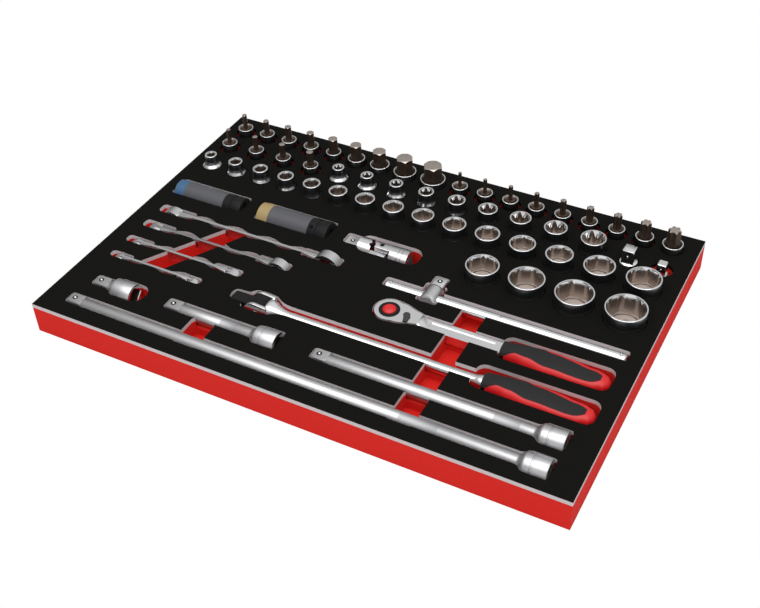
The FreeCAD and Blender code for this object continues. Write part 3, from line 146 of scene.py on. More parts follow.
class Maker:
    """Collects shapes, in millimetres, into one mesh with several materials."""

    def __init__(self, name, materials):
        self.bm = bmesh.new()
        self.name = name
        self.materials = materials
        self.place = Matrix.Identity(4)

    def at(self, x=0, y=0, z=0, turn=None):
        """Where the shapes that follow are put."""
        self.place = Matrix.Translation(Vector((x, y, z))) @ (turn.to_4x4() if turn else Matrix.Identity(4))

    def vert(self, point):
        """A vertex at a point, put where at() says."""
        return self.bm.verts.new(self.place @ Vector(point))

    def face(self, verts, mat=0):
        """A smooth face, left out where the same one is there already."""
        try:
            face = self.bm.faces.new(verts)
        except ValueError:
            return
        face.material_index = mat
        face.smooth = True

    def loops(self, rings, mats=None):
        """Skin between rings of points, capped; each gap between two rings has its own material."""
        made = [[self.vert(p) for p in ring] for ring in rings]
        mats = mats or [0] * len(made)
        for one, two, mat in zip(made, made[1:], mats):
            for i in range(len(one)):
                j = (i + 1) % len(one)
                self.face((one[i], one[j], two[j], two[i]), mat)
        self.face(made[0][::-1], mats[0])
        self.face(made[-1], mats[-1])

    def turned(self, rings, count=64, axis="z", mats=None):
        """Rings given as (along, radius) or (along, function of angle), round an axis."""
        out = []
        for along, radius in rings:
            ring = []
            for i in range(count):
                angle = 2 * math.pi * (i + 0.5) / count
                r, a = (radius, along) if not callable(radius) else radius(angle, along)
                c, s = r * math.cos(angle), r * math.sin(angle)
                ring.append({"z": (c, s, a), "x": (a, c, s), "y": (s, a, c)}[axis])
            out.append(ring)
        self.loops(out, mats)

    def slab(self, outline, low, high, edge):
        """An upright plate with rounded upper and lower edges."""
        levels = [(low, edge), (low + edge * 0.3, edge * 0.3), (low + edge, 0), (high - edge, 0)]
        levels += [(high - edge * 0.3, edge * 0.3), (high, edge)]
        self.loops([[(x, y, z) for x, y in inset(outline, step)] for z, step in levels])

    def box(self, low, high, edge):
        """A box between two corners, with rounded upper and lower edges."""
        (x0, y0, z0), (x1, y1, z1) = low, high
        self.slab([(x0, y0), (x1, y0), (x1, y1), (x0, y1)], z0, z1, edge)

    def ball(self, x, y, z, radius, mat):
        """A small ball of rings."""
        rings = []
        for k in range(1, 8):
            lift = math.pi * k / 8 - math.pi / 2
            ring = []
            for i in range(16):
                a = 2 * math.pi * i / 16
                flat = radius * math.cos(lift)
                ring.append((x + flat * math.cos(a), y + flat * math.sin(a), z + radius * math.sin(lift)))
            rings.append(ring)
        self.loops(rings, [mat] * 7)

    def finish(self, body, nodes=(), at=(0, 0, 0), sharp=32):
        """The mesh as an object that rides on a body and stands for CAD nodes."""
        bmesh.ops.remove_doubles(self.bm, verts=self.bm.verts, dist=0.0004)
        bmesh.ops.recalc_face_normals(self.bm, faces=self.bm.faces)
        mesh = bpy.data.meshes.new(self.name)
        bmesh.ops.scale(self.bm, vec=(MM, MM, MM), verts=self.bm.verts)
        self.bm.to_mesh(mesh)
        self.bm.free()
        for mat in self.materials:
            mesh.materials.append(mat)
        mesh.set_sharp_from_angle(angle=math.radians(sharp))
        obj = bpy.data.objects.new(self.name, mesh)
        bpy.context.scene.collection.objects.link(obj)
        obj.location = on_tray(*at)
        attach(obj, body)
        if nodes:
            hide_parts(*nodes)
        return obj


def inset(outline, step):
    """An outline moved inwards by a step, corner by corner."""
    if not step:
        return list(outline)
    area = sum(a[0] * b[1] - b[0] * a[1] for a, b in zip(outline, outline[1:] + outline[:1]))
    sign = 1 if area > 0 else -1
    out = []
    count = len(outline)
    for i in range(count):
        ax, ay = outline[i - 1]
        bx, by = outline[i]
        cx, cy = outline[(i + 1) % count]
        u = Vector((bx - ax, by - ay)).normalized()
        v = Vector((cx - bx, cy - by)).normalized()
        n = Vector((-u.y - v.y, u.x + v.x))
        if n.length < 1e-6:
            n = Vector((-u.y, u.x))
        n.normalize()
        spread = max(0.5, n.dot(Vector((-u.y, u.x))))
        out.append((bx + sign * n.x * step / spread, by + sign * n.y * step / spread))
    return out


def circle(x, y, radius, count=64):
    """A round outline."""
    return [
        (x + radius * math.cos(2 * math.pi * i / count), y + radius * math.sin(2 * math.pi * i / count))
        for i in range(count)
    ]


def mirrored(half, y, x=0):
    """An outline from (along, half width) stations, on both sides of a line at y."""
    return [(x + a, y - w) for a, w in half] + [(x + a, y + w) for a, w in half[::-1]]


def polygon_bore(size, sides):
    """Radius at each angle of a regular hole, from its size across flats."""
    step = 2 * math.pi / sides

    def radius(angle):
        return size / 2 / math.cos((angle % step) - step / 2)

    return radius


STAR_VALLEY = 0.70


def star_bore(size):
    """Radius at each angle of a six-lobed hole."""
    outer = size / 2
    inner = outer * STAR_VALLEY

    def radius(angle):
        wave = 0.5 + 0.5 * math.cos(6 * angle)
        return inner + (outer - inner) * wave ** 1.1

    return radius


def cone_into(bore, mouth, top, slope):
    """Where a cone from the mouth meets the wall of a bore, as a ring."""

    def ring(angle, along):
        r = bore(angle)
        return r, top - max(0.0, mouth - r) * slope

    return ring


def cone_over(shape, flat, top, slope):
    """Where the cone that blunts a bit meets the bit's sides, as a ring."""

    def ring(angle, along):
        r = shape(angle, along)[0]
        return r, top - max(0.0, r - flat) * slope

    return ring


def straight(bore):
    """A bore's outline as a ring square to its axis."""
    return lambda angle, along: (bore(angle), along)


# Sizes shared with the construction

LENGTH = 38.0
SQUARE = 12.7
SQUARE_HOLE = SQUARE + 0.3
HOLE_DEPTH = 17
BIT_TOP = 55
HEX_SOCKETS = [8, 10, 11, 12, 13, 14, 15, 16, 17, 18, 19, 20, 21, 24, 27]
LARGE_SOCKETS = [26, 28, 30, 32]
STAR_SOCKETS = [9.4, 10.1, 11.2, 12.9, 14.8, 16.7, 18.5, 20.2, 22.2]
HEX_BITS = [5, 6, 7, 8, 10, 12, 14, 17, 19]
STAR_BITS = [3.94, 4.5, 5.07, 5.6, 6.75, 7.93, 8.95, 11.35, 13.45]
SPLINE_BITS = [5, 6, 7, 8]
CORNER = 1 / math.cos(math.radians(30))
SEAT = 22.0

# Rows of upright pieces: where each row lies, how high its pieces stand, the play in their pockets
BIT_ROW_Y, STAR_ROW_Y, ADAPTER_Y, HEX_ROW_Y, LARGE_ROW_Y = 353.5, 319.4, 316.9, 280.3, 231.2
SOCKET_Z, ADAPTER_Z, BIT_Z = 11, 9, 4
SOCKET_GAP = 0.5
STAND_GAP = 0.3
pocket_rounds = []


def row_places(widths, start, web, before=None):
    """The middle of each piece of a row, the last middle and the last width."""
    places = []
    x = start
    for width in widths:
        if before is not None:
            x += (before + width) / 2 + web
        places.append(x)
        before = width
    return places, x, before


def socket_profile(rim, seat, seat_top=25.0, bell=5.0):
    """The outside of an upright socket, from its underside to its rim, with each gap's material: bright
    chrome on the rim and faces that look up, shaded chrome, painted shade, on the sides.
    """
    r, s = rim / 2, seat / 2
    lip = [(LENGTH - 0.6, r), (LENGTH - 0.2, r - 0.12), (LENGTH, r - 0.4)]
    if seat <= rim + 0.01:
        out = [(0, r - 1), (0.4, r - 0.35), (1.1, r), (8, r), (8.3, r - 0.45), (9.7, r - 0.45), (10, r)]
        return out + lip, [1] * len(out) + [0, 0]
    out = [(0, s - 1), (0.4, s - 0.35), (1.1, s), (seat_top - 0.7, s), (seat_top, s - 0.25)]
    mats = [1] * 3 + [0] * 2
    if bell:
        for k in range(1, 9):
            t = k / 8
            drawn_in = (s - 0.25 - r) * math.sin(math.pi * t / 2) ** 0.9
            out.append((seat_top + bell * 1.3 * t, s - 0.25 - drawn_in))
            mats.append(0 if k < 3 else 1)
    else:
        out += [(seat_top, r + 0.4), (seat_top + 0.3, r)]
        mats += [0, 1]
    return out + lip, mats + [0, 0]


LEAD_IN_SLOPE = 1.9
LEDGE_SHARE = 0.93


def add_socket(maker, x, y, rim, seat, bore, size_corner, depth, turned, mouth_gap=0.25):
    """An upright socket: square hole below, outside, bright rim, lead-in cone, bore with a ledge; bore walls
    painted shade, ledge and floor painted light.
    """
    maker.at(x, y, SOCKET_Z, Matrix.Rotation(math.radians(turned), 3, "Z"))
    square = polygon_bore(SQUARE_HOLE, 4)
    profile, sides = socket_profile(rim, seat)
    mouth = min(size_corner / 2 + mouth_gap, profile[-1][1] - 0.15)
    rings = [(HOLE_DEPTH, straight(square)), (0, straight(square))] + profile
    mats = [3, 1] + sides + [0]
    rings += [(LENGTH, mouth), (0, cone_into(bore, mouth, LENGTH, LEAD_IN_SLOPE))]
    low = LENGTH - depth
    ledge = min(bore(math.radians(k * 5)) for k in range(72)) * LEDGE_SHARE
    rings += [(low, straight(bore)), (low - 0.02, ledge), (low - 1, ledge - 0.6), (low - 1.01, 0.4)]
    # Bore walls in painted shade, the ledge and floor in painted light
    mats += [0, 2, 4, 2, 4]
    maker.turned(rings, 144, "z", mats)
    pocket_rounds.append((x, y, seat / 2 + SOCKET_GAP, SOCKET_Z - STAND_GAP))


# The materials of every upright piece but the adapters, in the order that their profiles count them; the
# second and third are painted shade, the fifth painted light
CHROME_SET = [CHROME, SHADED_CHROME, SHADED_BORE, SATIN, LIT_BORE_FLOOR]

# Hex sockets and large hex sockets; each stands turned by the degrees that the photograph shows

HEX_PLAY, STAR_PLAY = 1.03, 1.06


def hex_row(name, body, node, sizes, start, y, web, turns):
    """A row of hex sockets, from the middle of the first, with foam webs between them."""
    maker = Maker(name, CHROME_SET)
    widths = [max(SEAT, s * CORNER + 5) for s in sizes]
    places, _, _ = row_places(widths, start, web)
    for x, s, width, turned in zip(places, sizes, widths, turns):
        size = s * HEX_PLAY
        depth = max(13, s * 0.66)
        add_socket(maker, x, y, s * CORNER + 4.4, width, polygon_bore(size, 6), size * CORNER, depth, turned)
    maker.finish(body, [node])


HEX_TURNS = [35, 2, 27, 37, 33, 33, -13, -8, -5, 7, 23, -17, 30, 2, 30]
hex_row(
    "hex_socket_row", "hex_socket_set", "hex_sockets",
    HEX_SOCKETS, 25.2, HEX_ROW_Y, 10.9, HEX_TURNS,
)
LARGE_TURNS = [-10, 23, 1, 4]
hex_row(
    "large_socket_row", "large_socket_set", "large_hex_sockets",
    LARGE_SOCKETS, 381, LARGE_ROW_Y, 10.8, LARGE_TURNS,
)


# Bit sockets


def bit_shape(kind, size):
    """Radius at each angle of a hex, star or spline bit, as a ring."""
    if kind == "hex":
        return straight(polygon_bore(size, 6))
    if kind == "star":
        return straight(star_bore(size))
    return straight(lambda angle: size / 2 * (0.86 + 0.14 * (0.5 + 0.5 * math.cos(12 * angle)) ** 0.7))


# Shares of a bit's size: where the cone that blunts it starts, and its flat crown
BIT_FLAT = {"hex": 0.485, "star": 0.45, "spline": 0.45}
BIT_CROWN = {"hex": 0.47, "star": 0.33, "spline": 0.41}


def bit_row(kind, sizes, start, before, y, web):
    """Holders and bits of one kind in a row; gives the last middle and the last width."""
    prefix, body = f"{kind}_bit", f"{kind}_bit_set"
    holders = Maker(f"{prefix}_holder_row", CHROME_SET)
    bits = Maker(f"{prefix}_row", [SHADED_BIT_SIDE, BIT_STEEL])
    shanks = [max(10, s) for s in sizes]
    rims = [max(17.5, s * CORNER + 6) for s in shanks]
    widths = [max(SEAT, r) for r in rims]
    places, last, before = row_places(widths, start, web, before)
    for x, size, shank, rim, width in zip(places, sizes, shanks, rims, widths):
        pocket_rounds.append((x, y, width / 2 + SOCKET_GAP, BIT_Z - STAND_GAP))
        holders.at(x, y, BIT_Z)
        seat = polygon_bore(shank + 0.1, 6)
        profile, sides = socket_profile(rim, width, seat_top=20.0, bell=0)
        dish = profile[-1][1] - 0.7
        square = polygon_bore(SQUARE_HOLE, 4)
        rings = [(HOLE_DEPTH, straight(square)), (0, straight(square))] + profile
        rings += [(LENGTH, dish), (0, cone_into(seat, dish, LENGTH - 0.25, 0.75))]
        rings += [(24.5, straight(seat)), (24.4, 0.4)]
        mats = [3, 1] + sides + [0, 2, 2, 2, 2]
        holders.turned(rings, 72, "z", mats)
        bits.at(x, y, BIT_Z)
        shape = bit_shape(kind, size)
        blunt = cone_over(shape, BIT_FLAT[kind] * size, BIT_TOP, 0.9)
        hexagon = polygon_bore(shank, 6)
        grip_top = straight(hexagon) if size > 9.9 else shape
        rings = [(24.3, straight(hexagon)), (37.6, straight(hexagon)), (38, grip_top)]
        rings += [(50, shape), (0, blunt), (BIT_TOP, BIT_CROWN[kind] * size), (BIT_TOP - 0.01, 0.2)]
        # Sides in the painted-shade bit colour; blunting cone and crown in the lighter bit steel
        bits.turned(rings, 72, "z", [0] * 4 + [1] * 3)
    holders.finish(body, [f"{prefix}_holders"])
    bits.finish(body, [f"{prefix}s"], sharp=25)
    return last, before


BIT_WEB, STAR_WEB = 7.6, 14
row_x, row_before = bit_row("hex", HEX_BITS, 24.1, None, BIT_ROW_Y, BIT_WEB)
bit_row("star", STAR_BITS, row_x, row_before, BIT_ROW_Y, BIT_WEB)
row_x, row_before = bit_row("spline", SPLINE_BITS, 24.2, None, STAR_ROW_Y, STAR_WEB)

# Star sockets, in one row with the spline bits

stars = Maker("star_socket_row", CHROME_SET)
star_widths = [max(SEAT, (s + 4.2) * 1.05) for s in STAR_SOCKETS]
star_places, _, _ = row_places(star_widths, row_x, STAR_WEB, row_before)
for x, s, width in zip(star_places, STAR_SOCKETS, star_widths):
    size = s * STAR_PLAY
    add_socket(stars, x, STAR_ROW_Y, s + 4.2, width, star_bore(size), size, 14, -2, mouth_gap=0.1)
stars.finish("star_socket_set", ["star_sockets"])


# Square drives with a detent ball


def add_detent(maker, x, y, z, axis, ball_mat, hole_shade_mat, radius=2.7):
    """A spring ball on a dark disc, painted shade of its staked hole, on a face that looks along an axis."""
    way = -1 if axis == "y" else 1
    maker.at(x, y, z)
    maker.turned([(-0.2 * way, radius), (0.04 * way, radius), (0.04 * way, 0.1)], 24, axis, [hole_shade_mat] * 3)
    lift = -0.35 * way
    maker.ball(*((0, lift, 0) if axis == "y" else (0, 0, lift)), radius * 0.6, ball_mat)


def add_drive(maker, axis, start, end, side, hole_shade_mat=2, origin=(0, 0, 0)):
    """A square drive between two places along an axis, with bevelled end and edges."""
    h = side / 2
    e = 0.9
    maker.at(*origin)
    out = [(h - e, -h), (h, -h + e), (h, h - e), (h - e, h)]
    out += [(-h + e, h), (-h, h - e), (-h, -h + e), (-h + e, -h)]
    direction = 1 if end > start else -1
    rings = []
    for along, share in ((start, 1), (end - direction * 1.6, 1), (end - direction * 0.5, 0.94), (end, 0.82)):
        ring = [(a * share, b * share) for a, b in out]
        rings.append([(a, b, along) if axis == "z" else (along, a, b) for a, b in ring])
    maker.loops(rings)
    middle = (start + end) / 2
    x, y, z = origin
    if axis == "x":
        add_detent(maker, x + middle - 1.5, y, z + h, "z", 1, hole_shade_mat)
    else:
        add_detent(maker, x, y - h, z + middle + 1, "y", 1, hole_shade_mat, side * 0.18)


# Adapters


def adapter(label, x, rings, mats, start, end, side):
    """An upright adapter: a turned body from its seat upwards, with a square on top."""
    maker = Maker(f"adapter_{label}_detail", [CHROME, SATIN, BLACK_STEEL, SHADED_CHROME])
    maker.at(x, ADAPTER_Y, ADAPTER_Z)
    maker.turned(rings, 64, "z", mats)
    add_drive(maker, "z", start, end, side, origin=(x, ADAPTER_Y, ADAPTER_Z))
    maker.finish(f"{label}_adapter", [f"adapter_{label}"])
    seat = rings[1][1]
    pocket_rounds.append((x, ADAPTER_Y, seat + SOCKET_GAP, ADAPTER_Z - STAND_GAP))


# The large adapter's lower chamfer and sides are shaded chrome, painted shade; its upper edges bright chrome
large_rings = [(0, 8.6), (0.8, 9.5), (24.5, 9.5), (25.4, 9.1), (26, 8.0)]
adapter("large", 503.5, large_rings, [3, 3, 0, 0, 0], 26, 41.5, SQUARE)
small_rings = [(0, 9.6), (0.8, 10.5), (16.4, 10.5), (17.2, 10.1), (19, 8.6), (21.4, 7.0), (22, 6.6)]
adapter("small", 537.8, small_rings, [0] * 6, 22, 34.5, 9.5)


# Extension bars: label, left end, y, length, and where the knurled band starts and ends

EXTENSIONS = (
    ("long", 28, 25.3, 506.8, (394, 431.5)),
    ("middle", 285.9, 61, 250, (468.7, 493.6)),
    ("short", 121.4, 60.5, 126, (184, 203)),
    ("stub", 34.6, 58.5, 47.2, None),
)
EXTENSION_Z = 30.5


def extension(label, start, y, length, band):
    """A bar with its drive square to the left and its flared socket to the right."""
    maker = Maker(f"extension_{label}_detail", [BRUSHED, CHROME, MATTE_BAND, SHADED_BORE, BLACK_STEEL])
    taper_end = length - 21.5
    taper = taper_end - 8
    r, rim = 6.8, 12.0
    rings = [(15.5, 5.6), (15.9, 6.5), (16.6, r)]
    mats = [0, 0]
    if band:
        a, b = band[0] - start, band[1] - start
        rings += [(a, r), (a + 0.3, r - 0.12), (b - 0.3, r - 0.12), (b, r)]
        mats += [0, 2, 2, 2]
    for k in range(7):
        t = k / 6
        rings.append((taper + (taper_end - taper) * t, r + (rim - r) * (1 - math.cos(math.pi * t)) / 2))
        mats.append(0)
    rings += [(taper_end + 5.5, rim), (taper_end + 5.9, rim - 0.5), (taper_end + 7.1, rim - 0.5)]
    rings += [(taper_end + 7.5, rim), (length - 1.2, rim), (length - 0.3, rim - 0.5), (length, rim - 1.1)]
    mats += [0] * 7
    square = polygon_bore(SQUARE_HOLE, 4)
    rings += [(length, straight(lambda a: square(a) * 1.08)), (length - 0.8, straight(square))]
    rings += [(length - HOLE_DEPTH, straight(square))]
    mats += [1, 1, 3]
    maker.turned(rings, 64, "x", mats)
    add_drive(maker, "x", 16, 0, SQUARE, hole_shade_mat=4)
    maker.finish(f"{label}_extension", [f"extension_{label}"], (start, y, EXTENSION_Z))


for extension_sizes in EXTENSIONS:
    extension(*extension_sizes)


# Impact sockets: label, left end, radius, hex size, length and colour of the ring on the sleeve

IMPACTS = (("small", 16.3, 13, 17, 12, BLUE), ("large", 123.4, 14.5, 21, 13.5, GOLD))
IMPACT_Y, IMPACT_Z, IMPACT_LENGTH = 229.6, 28.5, 85.0


def impact(label, start, radius, size, ring, colour):
    """A black socket, its hex to the left, in a sleeve with a ring; the larger has a near-black disc, painted
    shade, where its cross hole is.
    """
    body, place = f"{label}_impact", (start, IMPACT_Y, IMPACT_Z)
    core, sleeve, end = radius - 1.6, 62.5, IMPACT_LENGTH
    sock = Maker(f"impact_{label}_detail", [BLACK_STEEL, SHADED_BORE, HOLE_SHADE])
    hexagon = polygon_bore(size, 6)
    square = polygon_bore(SQUARE_HOLE, 4)
    rings = [(65, straight(hexagon)), (1.2, straight(hexagon)), (0, straight(lambda a: hexagon(a) * 1.02))]
    rings += [(0, core - 0.5), (0.6, core), (sleeve, core)]
    rings += [(sleeve + 0.2, radius - 0.5), (sleeve + 0.8, radius)]
    rings += [(71.5, radius), (72.1, radius - 0.9), (74.9, radius - 0.9), (75.5, radius)]
    rings += [(end - 1.5, radius), (end - 0.4, radius - 0.5), (end, radius - 1.6)]
    rings += [(end, straight(square)), (end - 20, straight(square))]
    sock.turned(rings, 64, "x", [1, 1] + [0] * (len(rings) - 4) + [1])
    # The cross hole: a near-black disc of painted shade, standing just proud of the socket
    if size > 20:
        sock.at(67, 0, 0, Matrix.Rotation(math.radians(35), 3, "X"))
        sock.turned([(radius - 0.3, 2.3), (radius + 0.05, 2.3), (radius + 0.05, 0.2)], 24, "z", [2, 2, 2])
    sock.finish(body, [f"impact_socket_{label}"], place)
    cover = Maker(f"impact_sleeve_{label}_detail", [SLEEVE, colour])
    rings = [(0, core + 0.1), (0, radius - 0.5), (0.5, radius), (ring, radius), (ring + 0.15, radius - 0.1)]
    rings += [(ring + 0.4, radius - 0.1), (sleeve - 0.4, radius - 0.1)]
    rings += [(sleeve, radius - 0.5), (sleeve, core + 0.1)]
    cover.turned(rings, 64, "x", [1, 1, 1, 1, 0, 0, 0, 0])
    cover.finish(body, [f"impact_sleeve_{label}"], place)


for impact_sizes in IMPACTS:
    impact(*impact_sizes)


# Pieces that keep the construction's own meshes, with softer edges and a finish

MERGE_DISTANCE = 0.000002
FLAT_ANGLE, SHARP_ANGLE, BEVEL_ANGLE = (math.radians(a) for a in (0.6, 28, 30))


def cut_away(obj, cutter):
    """Takes one closed mesh out of another."""
    cutting = obj.modifiers.new("cut_outs", "BOOLEAN")
    cutting.operation = "DIFFERENCE"
    cutting.solver = "EXACT"
    cutting.use_self = True
    cutting.object = cutter
    bpy.context.view_layer.objects.active = obj
    obj.select_set(True)
    bpy.ops.object.modifier_apply(modifier=cutting.name)
    obj.select_set(False)


def dress(node, body, mat, bevel_width):
    """A copy of a CAD piece with flat faces joined, softened edges and its own finish."""
    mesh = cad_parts[node].data.copy()
    mesh.materials.clear()
    mesh.materials.append(mat)
    bm = bmesh.new()
    bm.from_mesh(mesh)
    bmesh.ops.remove_doubles(bm, verts=bm.verts, dist=MERGE_DISTANCE)
    bmesh.ops.dissolve_limit(bm, angle_limit=FLAT_ANGLE, verts=bm.verts, edges=bm.edges)
    for face in bm.faces:
        face.smooth = True
        face.material_index = 0
    bm.to_mesh(mesh)
    bm.free()
    mesh.set_sharp_from_angle(angle=SHARP_ANGLE)
    obj = bpy.data.objects.new(node + "_finish", mesh)
    bpy.context.scene.collection.objects.link(obj)
    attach(obj, body)
    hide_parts(node)
    bevel = obj.modifiers.new("edges", "BEVEL")
    bevel.width = bevel_width * MM
    bevel.segments = 2
    bevel.limit_method = "ANGLE"
    bevel.angle_limit = BEVEL_ANGLE
    return obj


dress("joint_drive_fork", "joint_drive_end", CHROME, 0.5)
dress("joint_socket_fork", "joint_socket_end", SATIN, 0.5)
dress("joint_block", "joint_centre", BLACK_STEEL, 0.3)

# T-bar slider: a barrel across the bar with a hole for it, then its drive square

CROSS_Y, CROSS_Z = 182.7, 29.5
CROSS_START, CROSS_LENGTH = 298.7, 248.6
SLIDER_X = 347.7


def barrel_ring(y, radius, dip=0.0):
    """A ring of the barrel; its upper half is set back by the dip."""
    ring = []
    for i in range(64):
        c, s = math.cos(math.pi * i / 32), math.sin(math.pi * i / 32)
        ring.append((radius * c, y + dip * max(0.0, s) ** 2, radius * s))
    return ring


slider = Maker("cross_slider_detail", [SATIN, CHROME, BLACK_STEEL])
slider.at(SLIDER_X, 0, CROSS_Z)
near_rings = [barrel_ring(y, r, 3) for y, r in ((172, 9.0), (172.5, 9.7), (173.9, 10), (176.5, 10))]
far_rings = [barrel_ring(y, r) for y, r in ((192, 10), (194.2, 9.8), (195.4, 9.2), (196, 8.4))]
slider.loops(near_rings + far_rings)
slider_body = slider.finish("cross_slide", ["cross_slider"])
through = Maker("slider_hole", [SATIN])
through.at(0, CROSS_Y, CROSS_Z)
through.turned([(330, 6.3), (366, 6.3)], 64, "x")
hole = through.finish("cross_slide")
cut_away(slider_body, hole)
bpy.data.objects.remove(hole)
drive = Maker("slider_drive", [CHROME, BLACK_STEEL])
drive.box((341.4, 195.4, 23.2), (354.0, 210, 35.8), 0.9)
add_detent(drive, SLIDER_X, 204.4, 35.8, "z", 0, 1)
drive.finish("cross_slide")

# Universal joint: the ball of its drive square and the grooves of its socket, drawn as thin rings of shaded
# chrome, painted shade

JOINT_Y, JOINT_Z = 228, 27
ball = Maker("joint_ball", [CHROME, BLACK_STEEL])
add_detent(ball, 236.2, JOINT_Y, 33.4, "z", 0, 1, 2.4)
ball.finish("joint_drive_end")
grooves = Maker("joint_grooves", [SHADED_CHROME])
grooves.at(0, JOINT_Y, JOINT_Z)
for place in (291, 295):
    grooves.turned([(place, 11.9), (place, 12.03), (place + 0.5, 12.03), (place + 0.5, 11.9)], 64, "x")
grooves.finish("joint_socket_end")

# Ratchet

RATCHET = (321.7, 145.5)
dress("ratchet_drive", "ratchet_gear", SATIN, 0.3)
dress("ratchet_cover", "ratchet", BLACK_STEEL, 0.3)
dress("ratchet_button", "button", RED, 0.5)
dress("ratchet_lever", "lever", LEVER, 0.3)
ratchet = dress("ratchet_body", "ratchet", CHROME, 0.9)

# The photograph's ratchet head is narrower than the construction's: its outline is drawn in towards
# the gear, and the share grows back to 1 along the neck
HEAD_SHARE = 0.85
GEAR_RADIUS, HEAD_END = 13.5, 30
NECK_START, NECK_LENGTH = 6, 22
pivot = Vector(on_tray(*RATCHET, 0))
for vert in ratchet.data.vertices:
    away = ratchet.matrix_basis @ vert.co - pivot
    if math.hypot(away.x, away.y) / MM > GEAR_RADIUS and away.x / MM < HEAD_END:
        u = min(1.0, max(0.0, (away.x / MM - NECK_START) / NECK_LENGTH))
        share = HEAD_SHARE + (1 - HEAD_SHARE) * u * u * (3 - 2 * u)
        vert.co.x -= away.x * (1 - share)
        vert.co.y -= away.y * (1 - share)

# The breaker bar's head and pin, and the wrenches

dress("breaker_head", "swivel_head", BLACK_STEEL, 2.2)
dress("breaker_pin", "breaker", SATIN, 0.2)
for number in ("one", "two", "three", "four"):
    dress(f"wrench_{number}", f"ring_wrench_{number}", SATIN, 0.9)

# Breaker bar: two ears on a neck that narrows to a round shank; the origin is the head's pin

BREAKER = (201, 101)
breaker = Maker("breaker_bar_detail", [CHROME])
breaker.at(turn=Matrix.Rotation(math.radians(90), 3, "X"))
ear = [(12.6 * math.cos(a), 12.6 * math.sin(a)) for a in (math.radians(90 + 180 * k / 24) for k in range(25))]
ear = [(14, -11.2), (14, 11.2)] + ear
for low in (-10.8, 7.0):
    breaker.slab(ear, low, low + 3.8, 1.0)
breaker.at()
rings = []
for x, wide, tall in (
    (10.2, 8.6, 9.6), (10.6, 10.0, 10.8), (12, 10.7, 11.4), (15, 10.5, 11.0), (18, 9.4, 9.6), (21, 7.8, 8.0),
    (25, 6.5, 6.6), (30, 5.7, 5.7), (36, 5.5, 5.5), (230, 5.5, 5.5), (234, 6.4, 6.4), (237, 7.2, 7.2),
    (239.4, 7.3, 7.3), (240, 6.8, 6.8),
):
    blunt = 0.75 if x < 20 else 0.88 if x < 26 else 1.0
    ring = []
    for i in range(48):
        c, s = math.cos(math.pi * i / 24), math.sin(math.pi * i / 24)
        ring.append((x, wide * math.copysign(abs(c) ** blunt, c), tall * math.copysign(abs(s) ** blunt, s)))
    rings.append(ring)
breaker.loops(rings)
breaker.finish("breaker", ["breaker_bar"], (*BREAKER, 27))

# T-bar rod, with a ball near each end

rod = Maker("cross_bar_detail", [CHROME, BLACK_STEEL])
rings = [(0, 4.2), (0.5, 5.3), (1.6, 6)]
rings += [(122.9, 6), (123.4, 5.3), (125.2, 5.3), (125.7, 6)]
rings += [(247.0, 6), (248.1, 5.3), (CROSS_LENGTH, 4.2)]
rod.turned(rings, 48, "x")
for place in (5.4, 243.2):
    add_detent(rod, place, 0, 5.8, "z", 0, 1, 2.2)
rod.finish("cross_rod", ["cross_bar"], (CROSS_START, CROSS_Y, CROSS_Z))


# Grips

# Width of a grip at shares of its length
STATIONS = ((0, 19), (0.14, 21), (0.24, 25), (0.42, 30), (0.62, 29), (0.85, 25), (0.95, 19), (1, 9))


def smooth(t, table):
    """The value of a table of (share, value) stations at a share, eased between two of them."""
    for (a, low), (b, high) in zip(table, table[1:]):
        if t <= b:
            u = (t - a) / (b - a)
            return low + (high - low) * (u * u * (3 - 2 * u))
    return table[-1][1]


# How much of the half width the charcoal covers along the grip, towards the back and the front
FAR_SHARE = ((0, 1), (0.2, 1), (0.3, 0.8), (0.44, 0.48), (0.78, 0.42), (1, 0.42))
NEAR_SHARE = ((0, 1), (0.03, 0.96), (0.15, 0.6), (0.26, 0.58), (0.42, 0.7), (0.78, 0.7), (1, 0.7))


def pad_share(t, table):
    """A share of the half width, rounded off towards the pad's end."""
    return smooth(t, table) * math.sqrt(max(0.001, 1 - (max(0.0, t - 0.8) / 0.133) ** 2))


